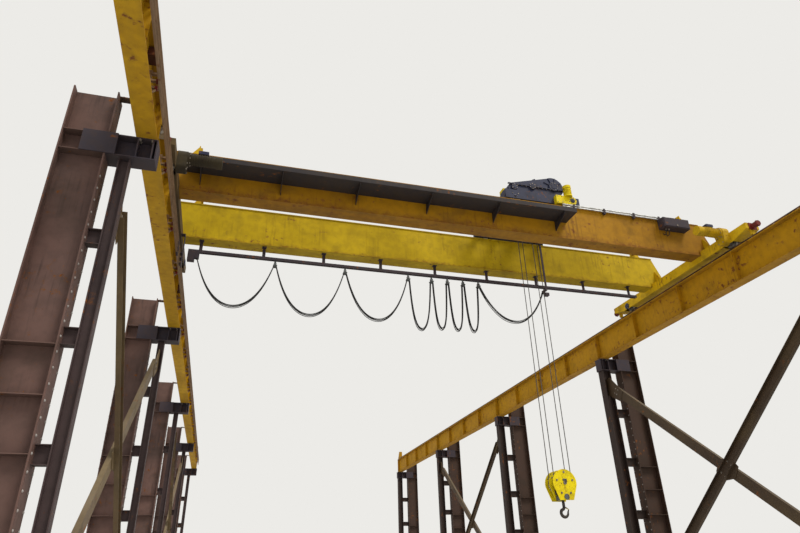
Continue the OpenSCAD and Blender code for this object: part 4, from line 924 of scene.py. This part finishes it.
def motor_fittings():
    """Terminal box lid, cable, lifting eye, foot bolts and cowl ribs of the hoist motor; brake lever."""
    body, bolts, cable = Shape(), Shape(), Shape()
    x, y, z = motor_x, motor_low.y, shaft_z
    lid_y, lid_t = y + 0.28, 0.008
    body.pad((x, lid_y, motor_high.z), 0.096, 0.106, lid_t, 0.002)
    for dx, dy in corners:
        bolts.bolt((x + dx * 0.08, lid_y + dy * 0.09, motor_high.z + lid_t), up, 0.013, 0.008)
    eye = circle((x, y + 0.47, z + 0.169), 0.028, 16, -math.pi / 2, back)
    body.tube([*eye, eye[0]], 0.007, 8)
    for dy in (0.15, 0.43):
        for dx in both:
            bolts.bolt((x + dx * 0.115, y + dy, deck_z + 0.006), up, 0.022, 0.014)
    floor_z = deck_z + 0.012
    cable.tube([
        (x + 0.09, lid_y, z + 0.16), (x + 0.13, lid_y, z + 0.155), (x + 0.165, lid_y, z + 0.12),
        (x + 0.175, y + 0.29, z + 0.05), (x + 0.175, y + 0.30, z - 0.08), (x + 0.18, y + 0.31, floor_z),
        (x + 0.22, y + 0.33, floor_z), (x + 0.27, y + 0.40, floor_z),
    ], 0.011, 10)
    for i in range(14):
        place = at(x, y + 0.57, z) @ Matrix.Rotation(2 * math.pi * i / 14, 4, "Y") @ at(0, 0, 0.141)
        rib = []
        for half_x, half_y, height in ((0.006, 0.035, -0.004), (0.004, 0.033, 0.003)):
            rib += [(-half_x, -half_y, height), (half_x, -half_y, height)]
            rib += [(half_x, half_y, height), (-half_x, half_y, height)]
        body.rings(rib, 2, 4, place)
    brake_low, brake_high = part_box("hoist_brake")
    lever = ((0, 0.05, -0.01), (0, 0.055, 0.04), (0.01, 0.07, 0.09), (0.01, 0.10, 0.13))
    start = Vector((x, brake_low.y, brake_high.z))
    body.tube([start + Vector(p) for p in lever], lambda share: 0.009 - 0.003 * share, 8)
    for foot in circle((x, brake_low.y + 0.09, z), 0.09, 6, 0.3):
        bolts.bolt(foot, back, 0.015, 0.01)
    body.piece("motor_parts", "trolley", "block_yellow", "block_yellow")
    bolts.piece("motor_bolts", "trolley", "bolt_steel", "rail_steel")
    cable.piece("motor_cable", "trolley", "cable_black", "cable_rubber")


def trolley_fittings():
    """Bearing bolts and grease nipples, rail sweeps, axle keepers and drive bolts of the trolley."""
    plates, bolts = Shape(), Shape()
    bearing_low, bearing_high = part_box("drum_bearings")
    for y in (bearing_low.y + 0.04, bearing_high.y - 0.04):
        for dx in both:
            bolts.bolt((drum.x + dx * 0.108, y, deck_z + 0.03), up, 0.03, 0.022)
            bolts.bolt((drum.x + dx * 0.062, y, bearing_high.z - 0.024), up, 0.02, 0.014)
        plates.turned([(0.006, 0), (0.006, 0.012), (0.003, 0.02)], at(drum.x, y, bearing_high.z), 10)
    half_length = (frame_high.x - frame_low.x) / 2
    middle = (frame_high.x + frame_low.x) / 2
    axle_reach, wheel_z, sweep_t, truck_half = 0.7, near_high.z + 0.1853, 0.012, 0.065
    for e in both:
        for y, out in ((near_y, -1), (far_y, 1)):
            x = middle + e * half_length
            low = (x, y - 0.04, near_high.z + 0.068)
            plates.block(low, (x + e * sweep_t, y + 0.04, frame_low.z + 0.10), 0.002)
            for dy in both:
                bolts.bolt((x + e * sweep_t, y + dy * 0.028, frame_low.z + 0.07), (e, 0, 0), 0.016, 0.01)
            if y == far_y or e < 0:
                axle_x = middle + e * axle_reach
                keep = at(axle_x, y + out * (truck_half + 0.012), wheel_z) @ turn(up, (0, out, 0))
                plates.turned([(0.026, 0.0), (0.026, 0.004), (0.02, 0.008)], keep, 20)
                for dx in both:
                    spot = (axle_x + dx * 0.07, y + out * truck_half, wheel_z + 0.06)
                    bolts.bolt(spot, (0, out, 0), 0.02, 0.012)
    case = Vector((middle + axle_reach, near_y - truck_half - 0.1103, wheel_z))
    for foot in circle(case, 0.088, 8, 0.39):
        bolts.bolt(foot, front, 0.016, 0.01)
    cover = [(0.06, 0.0), (0.06, 0.008), (0.05, 0.014), (0.002, 0.014)]
    plates.turned(cover, Matrix.Translation(case) @ turn(up, front), 32)
    for dx in (-0.39, -0.27):
        for dz in both:
            bolts.bolt(case + Vector((dx, 0, dz * 0.08)), front, 0.018, 0.012)
    bolts.piece("trolley_bolts", "trolley", "bolt_steel", "rail_steel")
    plates.piece("trolley_plates", "trolley", "machine_navy", "dark_paint")


def panel_fittings():
    """Hinges, latch, cable glands and cables of the switch cabinet on the near girder."""
    low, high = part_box("drive_panel")
    fittings, cables = Shape(), Shape()
    for x in (low.x + 0.10, high.x - 0.10):
        place = at(x - 0.03, low.y + 0.006, high.z - 0.018) @ turn(up, (1, 0, 0))
        fittings.turned([(0.008, 0.0), (0.008, 0.06)], place, 12)
    middle = (low.x + high.x) / 2
    latch_low = (middle - 0.015, low.y - 0.012, low.z + 0.03)
    fittings.block(latch_low, (middle + 0.015, low.y, low.z + 0.08), 0.003)
    gland = [(0.02, 0.0), (0.02, 0.012), (0.014, 0.016), (0.014, 0.034)]
    y = low.y + 0.13
    for x, sag in ((low.x + 0.12, 0.05 / 3), (low.x + 0.20, 0.11 / 3)):
        fittings.turned(gland, at(x, y, low.z) @ turn(up, down), 16)
        cables.tube([
            (x, y, low.z - 0.03), (x, y, low.z - 0.07), (x - 0.01, y + 0.03, low.z - 0.11 - sag),
            (x - 0.02, y + 0.07, low.z - 0.12 - sag), (x - 0.03, near_low.y + 0.012, low.z - 0.09),
        ], 0.009, 8)
    fittings.piece("panel_fittings", "bridge", "bolt_steel", "rail_steel")
    cables.piece("panel_cables", "bridge", "cable_black", "cable_rubber")


def walk_fittings():
    """Bolts of the footwalk's knee plates and joints of its deck sheets."""
    bolts, seams = Shape(), Shape()
    knees = 6
    length = walk_high.x - walk_low.x
    margin = length / 27.5
    z = walk_low.z + 0.26 + 0.008
    for i in range(knees):
        x = walk_low.x + margin + i * (length - 2 * margin) / (knees - 1)
        for step in (0.06, 0.22, 0.38):
            for dx in both:
                bolts.bolt((x + dx * 0.03, walk_high.y - step, z), up, 0.018, 0.01)
    for i in range(1, 4):
        x = walk_low.x + length * i / 4
        low = (x - 0.003, walk_low.y + 0.01, z - 0.001)
        seams.block(low, (x + 0.003, walk_high.y - 0.001, z + 0.003))
    bolts.piece("walk_bolts", "bridge", "bolt_steel", "rail_steel")
    seams.piece("walk_seams", "bridge", "walk_navy", "dark_paint")


def drum_rope():
    """Turns of rope in the drum's two bands of grooves, from the falls outward."""
    rope = Shape()
    radius, pitch, turns, steps = 0.210, 0.020, 11, 40
    for j in both:
        path = []
        for i in range(turns * steps + 1):
            angle = math.pi - 2 * math.pi * i / steps
            y = bridge_y + j * (0.1 + pitch * i / steps)
            path.append((drum.x + radius * math.cos(angle), y, drum.z + radius * math.sin(angle)))
        rope.tube(path, 0.008, 8)
    rope.piece("drum_rope", "trolley", "wire_rope", "rope_steel")


def hoist_falls():
    """Four falls of rope, each drawn out between the trolley and the hook block."""
    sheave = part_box("equalizer_sheave")
    rope_half, rings = 0.008, 60
    tops = (
        ("left", rope_low.x + rope_half, (sheave[0].z + sheave[1].z) / 2),
        ("right", rope_high.x - rope_half, rope_high.z),
    )
    for side, x, top in tops:
        for j, row in ((-1, "near"), (1, "far")):
            y = bridge_y + j * 0.1
            path = [(x, y, block_z + (top - block_z) * i / rings) for i in range(rings + 1)]
            fall = Shape().tube(path, 0.0085, 10)
            ends = ("hook_block", (x, y, 9.2), (x, y, block_z + 0.25))
            name = f"hoist_fall_{side}_{row}"
            fall.piece(name, "trolley", "wire_rope", "rope_steel", blend=ends, stands_for=["hoist_ropes"])


def block_fittings():
    """Pin nuts, keeper plates, rope guards and tie bolts of the hook block."""
    bolts, guards = Shape(), Shape()
    half_y = (cheek_high.y - cheek_low.y) / 2
    x = block.x
    cross_z = block_z - 0.26
    keeper_t, keeper_z = 0.01, block_z + 0.056
    nut = [(0.055, 0), (0.055, 0.014), (0.05, 0.018)]
    for out in both:
        y = bridge_y + out * half_y
        for dx, dz in ((-0.17, 0.05), (0.17, 0.05), (0.0, 0.20), (-0.10, -0.19), (0.10, -0.19)):
            bolts.bolt((x + dx, y, block_z + dz), (0, out, 0), 0.03, 0.02)
        low = (x - 0.045, y, keeper_z - 0.02)
        guards.block(low, (x + 0.045, y + out * keeper_t, keeper_z + 0.02), 0.002)
        for dx in both:
            bolts.bolt((x + dx * 0.028, y + out * keeper_t, keeper_z), (0, out, 0), 0.016, 0.01)
        guards.turned(nut, at(x, y, cross_z) @ turn(up, (0, out, 0)), 24)
    guard_half = half_y - 0.01
    for degrees in (28, 62, 118, 152):
        angle = math.radians(degrees)
        place = at(x + 0.228 * math.cos(angle), bridge_y - guard_half, block_z + 0.228 * math.sin(angle))
        guards.turned([(0.009, 0.0), (0.009, 2 * guard_half)], place @ turn(up, back), 12)
    bolts.piece("block_bolts", "hook_block", "bolt_steel", "rail_steel")
    guards.piece("block_guards", "hook_block", "machine_grey", "machine_grey")


def smoothed(points, count):
    """Curve through all the points, with count steps from each to the next."""
    ends = [points[0] * 2 - points[1], *points, points[-1] * 2 - points[-2]]
    curve = []
    for a, b, c, d in zip(ends, ends[1:], ends[2:], ends[3:]):
        for i in range(count):
            t = i / count
            rise = (c - a) * t + (2 * a - 5 * b + 4 * c - d) * t * t + (3 * b - a - 3 * c + d) * t ** 3
            curve.append(b + 0.5 * rise)
    curve.append(points[-1])
    return curve


shank = 0.028
hook_place = at(block.x, bridge_y, sum(p.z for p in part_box("crosshead")) / 2 - 0.28)


def hook_forging():
    """The forged hook with its shank, bowl, rounded tip and nut, drawn smooth round the CAD one."""
    hook = Shape()
    bowl, sides = 0.075, 32
    line = [(0, 0.19), (0, 0.16), (0, 0.13), (0, 0.10), (-0.006, 0.082), (-0.022, 0.066)]
    arc = [math.radians(degrees) for degrees in range(140, 361, 20)]
    line += [(bowl * math.cos(a), bowl * math.sin(a)) for a in arc]
    line += [(bowl + 0.006, 0.026), (bowl + 0.018, 0.050)]
    route = smoothed([Vector((x, 0, z)) for x, z in line], 6)
    swell = [0.0284 + 0.0026 * i / 8 for i in range(9)]
    taper = [0.031 - 0.019 * i / 7 for i in range(1, 8)]
    radii = [Vector((r, 0, 0)) for r in [shank] * 4 + swell + taper]
    thick = [r.x for r in smoothed(radii, 6)]
    points = circle((0, 0, 0.34), shank, sides, second=front)
    last = len(route) - 1
    flat_from = 20
    for i, p in enumerate(route):
        ahead = (route[min(i + 1, last)] - route[max(i - 1, 0)]).normalized()
        out = Vector((-ahead.z, 0, ahead.x))
        for a in (0.0, 0.4, 0.8, 1.15, 1.4) if i == last else (0.0,):
            r = thick[i] * math.cos(a)
            middle = p + ahead * (math.sin(a) * thick[i] * 0.7)
            for k in range(sides):
                angle = 2 * math.pi * k / sides
                flat = 0.96 - 0.10 * math.cos(angle) if i > flat_from else 1.0
                aside = Vector((0, r * flat * math.sin(angle), 0))
                points.append(middle + out * (r * math.cos(angle)) + aside)
    hook.rings(points, len(points) // sides, sides, hook_place)
    hook.turned([(0.048, 0.3225), (0.052, 0.3265), (0.052, 0.358), (0.046, 0.362)], hook_place, 6)
    hook.turned([(0.040, 0.3222), (0.040, 0.3228)], hook_place, 24)
    hook.piece("hook_forging", "hook", "hook_steel", "hook_steel", 50, stands_for=["hook"])


def latch_fittings():
    """Pin, coil spring and cheeks of the hook's latch."""
    latch = Shape()
    x, z = shank + 0.009, 0.096
    pin = [(0.004, -0.001), (0.007, 0.001), (0.007, 0.037), (0.004, 0.039)]
    latch.turned(pin, hook_place @ at(x, -0.019, z) @ turn(up, back), 16)
    turns, steps, coil_radius, rise = 6, 12, 0.0095, 0.00045
    coil = []
    for i in range(turns * steps + 1):
        angle = 2 * math.pi * i / steps
        spot = (x + coil_radius * math.cos(angle), rise * i - 0.0165, z + coil_radius * math.sin(angle))
        coil.append(hook_place @ Vector(spot))
    latch.tube(coil, 0.0016, 6)
    cheek = [(0.0, -0.012), (0.012, -0.014), (0.062, -0.040), (0.060, -0.031), (0.012, 0.004), (0.0, 0.006)]
    cheek_t = 0.0024
    for j in both:
        latch.pushed(cheek, cheek_t, hook_place @ along_y(x, j * 0.0125 - cheek_t / 2, z))
    latch.piece("latch_spring", "hook", "bolt_steel", "hook_steel")


# The cables of the festoon's bundle: place across it, radius, and how far each sags past the first
leads = [(-0.036, 0.009, 0.0), (-0.012, 0.012, 0.02), (0.014, 0.010, -0.015), (0.036, 0.008, 0.035)]


def hanging(a, b, drop, count):
    """Points of a cable that hangs between two heights alike, by its true hanging curve."""
    width = b.x - a.x
    scale = width / 2
    for _ in range(60):
        depth = scale * (math.cosh(width / (2 * scale)) - 1)
        scale *= 1 + 0.5 * (depth - drop) / (depth + drop)
    bend = width / (2 * scale)
    points = []
    for i in range(count + 1):
        u = 2 * i / count - 1
        x = scale * math.asinh(math.sinh(bend) * u * (0.6 + 0.4 * abs(u)))
        points.append(Vector((a.x + width / 2 + x, a.y, a.z - drop + scale * (math.cosh(x / scale) - 1))))
    return points


def cut_out(route, first, last):
    """The stretch of a route between two places along X, with its ends cut there."""
    kept = []
    for a, b in zip(route, route[1:]):
        low, high = max(a.x, first), min(b.x, last)
        if high - low < 1e-9:
            continue
        way = (b - a) / (b.x - a.x)
        if not kept:
            kept.append(a + way * (low - a.x))
        kept.append(a + way * (high - a.x))
    return kept


def smooth_share(ratio):
    """Share of the way at which a blend's smooth rise reaches ratio."""
    return 0.5 - math.sin(math.asin(1 - 2 * ratio) / 3)


def festoon_loops():
    """Bundle of cables in loops, in stretches between the carriers; the travel shares worked out for each
    stretch are passed on but not used.
    """
    clamp_x, tow_x = -5.6, 2.7
    carriers = [sum(p.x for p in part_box(f"carrier_{i}")) / 2 for i in range(1, 8)]
    shares = {c["joint"]: c["ratio"] for c in frame["record"]["behaviour"]["couplings"]}
    ratios = [0.0] + [shares[f"carrier_{i}_travel"] for i in range(1, 8)] + [1.0]
    stops = [clamp_x] + carriers + [tow_x]
    drops = [1.02, 1.08, 1.06, 1.20, 1.15, 1.15, 1.15, 0.82]
    cuts_of = {0: [0.0, 0.06, 0.16, 0.4, 1.0], 7: [0.0, 0.6, 0.84, 0.94, 1.0]}
    track_y = (cable_low.y + cable_high.y) / 2
    thickest, strap_half = 0.012, 0.03
    top_z = cable_high.z
    cable_z = top_z - thickest
    for n, (left, right) in enumerate(zip(stops, stops[1:])):
        routes = []
        for dy, radius, sag in leads:
            places = (left, left + strap_half, right - strap_half, right)
            ends = [Vector((x, track_y + dy, top_z - radius)) for x in places]
            routes.append(([ends[0], *hanging(ends[1], ends[2], drops[n] + sag, 44), ends[3]], radius))
        cuts = cuts_of.get(n, [0.0, 1.0])
        gain = ratios[n + 1] - ratios[n]
        for c, (begins, stops_at) in enumerate(zip(cuts, cuts[1:])):
            first, last = (left + (right - left) * cut for cut in (begins, stops_at))
            low, high = (smooth_share(ratios[n] + gain * cut) for cut in (begins, stops_at))
            stretch = Shape()
            for route, radius in routes:
                stretch.tube(cut_out(route, first, last), radius, 8)
            reach = (last - first) / (high - low)
            begin = first - low * reach
            ends = ("trolley", (begin, track_y, cable_z), (begin + reach, track_y, cable_z))
            name = f"festoon_loop_{n + 1}" + (f"_{c + 1}" if n in cuts_of else "")
            stretch.piece(name, "bridge", "cable_black", "cable_rubber", 60, ends, ["festoon_cable"])


def carrier_fittings():
    """Saddle straps and hanger bolts of the festoon carriers."""
    strap_t, plate_t = 0.004, 0.014
    for i in range(1, 8):
        low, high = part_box(f"carrier_{i}")
        x, y, z = (low.x + high.x) / 2, (low.y + high.y) / 2, low.z
        strap = Shape()
        for dy, radius, _ in leads:
            depth = 2 * radius + 2 * strap_t
            strap.pad((x, y + dy, z - depth), 0.035, radius + strap_t, depth + strap_t, 0.004)
        strap.pad((x, y, z), 0.045, 0.062, plate_t, 0.003)
        for dy in both:
            strap.bolt((x, y + dy * 0.052, z + plate_t), up, 0.018, 0.012)
        strap.piece(f"carrier_strap_{i}", f"carrier_{i}", "machine_grey", "machine_grey")


def set_camera():
    """The camera where the photograph was taken from, near one end of the runway at eye height."""
    data = bpy.data.cameras.new("camera")
    data.sensor_width = 36
    data.lens = 27.0
    data.clip_end = 400
    made = bpy.data.objects.new("camera", data)
    bpy.context.scene.collection.objects.link(made)
    place = (-4.61, -18.80, 1.60)
    yaw, pitch, roll = (math.radians(v) for v in (16.45, 27.01, -1.57))
    ahead = Vector((math.sin(yaw) * math.cos(pitch), math.cos(yaw) * math.cos(pitch), math.sin(pitch)))
    right = Vector((math.cos(yaw), -math.sin(yaw), 0))
    above = right.cross(ahead)
    side = right * math.cos(roll) + above * math.sin(roll)
    upward = above * math.cos(roll) - right * math.sin(roll)
    rows = [(side[i], upward[i], -ahead[i], place[i]) for i in range(3)]
    made.matrix_world = Matrix((*rows, (0, 0, 0, 1)))
    bpy.context.scene.camera = made


def set_surroundings():
    """Pale surroundings that the camera and glossy faces see, and a plainer light for the rest."""
    world = bpy.data.worlds.new("studio")
    world.use_nodes = True
    bpy.context.scene.world = world
    tree = world.node_tree
    sky = Maker(tree)
    light = tree.nodes["Background"]
    light.inputs["Color"].default_value = (1.0, 0.97, 0.92, 1)
    light.inputs["Strength"].default_value = 0.70
    shown = sky.node("ShaderNodeBackground", {}, {"Color": (0.84, 0.83, 0.80, 1)})
    straight = sky.node("ShaderNodeLightPath", {}, {}, "Is Camera Ray")
    mirrored = sky.node("ShaderNodeLightPath", {}, {}, "Is Glossy Ray")
    seen = straight.math("MAXIMUM", straight, mirrored)
    mix = sky.node("ShaderNodeMixShader", {}, {0: seen, 1: Wire(sky, light.outputs[0]), 2: shown})
    tree.links.new(mix.socket, tree.nodes["World Output"].inputs[0])


def set_lamp():
    """One wide soft lamp from above."""
    sun = bpy.data.lights.new("lamp", "SUN")
    sun.energy = 1.9
    sun.color = (1.0, 0.95, 0.86)
    sun.angle = math.radians(20)
    lamp = bpy.data.objects.new("lamp", sun)
    bpy.context.scene.collection.objects.link(lamp)
    way = Vector((-0.45, 0.55, -0.85))
    lamp.rotation_euler = way.to_track_quat("-Z", "Y").to_euler()


def set_floor():
    """Pale floor, just below the base plates."""
    reach, z = 160, -0.002
    mesh = bpy.data.meshes.new("floor")
    edges = [(-reach, -reach, z), (reach, -reach, z), (reach, reach, z), (-reach, reach, z)]
    mesh.from_pydata(edges, [], [(0, 1, 2, 3)])
    coat = Finish("floor")
    pale = coat.blend(coat.cloud(2.5, 5.0), (0.66, 0.65, 0.63), (0.72, 0.71, 0.69))
    mesh.materials.append(coat.set(base_color=pale, roughness=0.8))
    floor = bpy.data.objects.new("floor", mesh)
    bpy.context.scene.collection.objects.link(floor)


bpy.context.scene.view_settings.view_transform = "Standard"
set_camera()
set_surroundings()
set_lamp()
set_floor()

rail_clips()
column_bolts()
column_rivets()
base_ribs()
column_plates()
tie_bolts()
bar_fittings()
runway_conduits()
brace_bolts()
truck_fittings()
girder_seams()
girder_conduit()
drive_fittings()
trolley_rail_clips()
gearbox_fittings()
motor_fittings()
trolley_fittings()
panel_fittings()
walk_fittings()
drum_rope()
hoist_falls()
block_fittings()
hook_forging()
latch_fittings()
festoon_loops()
carrier_fittings()
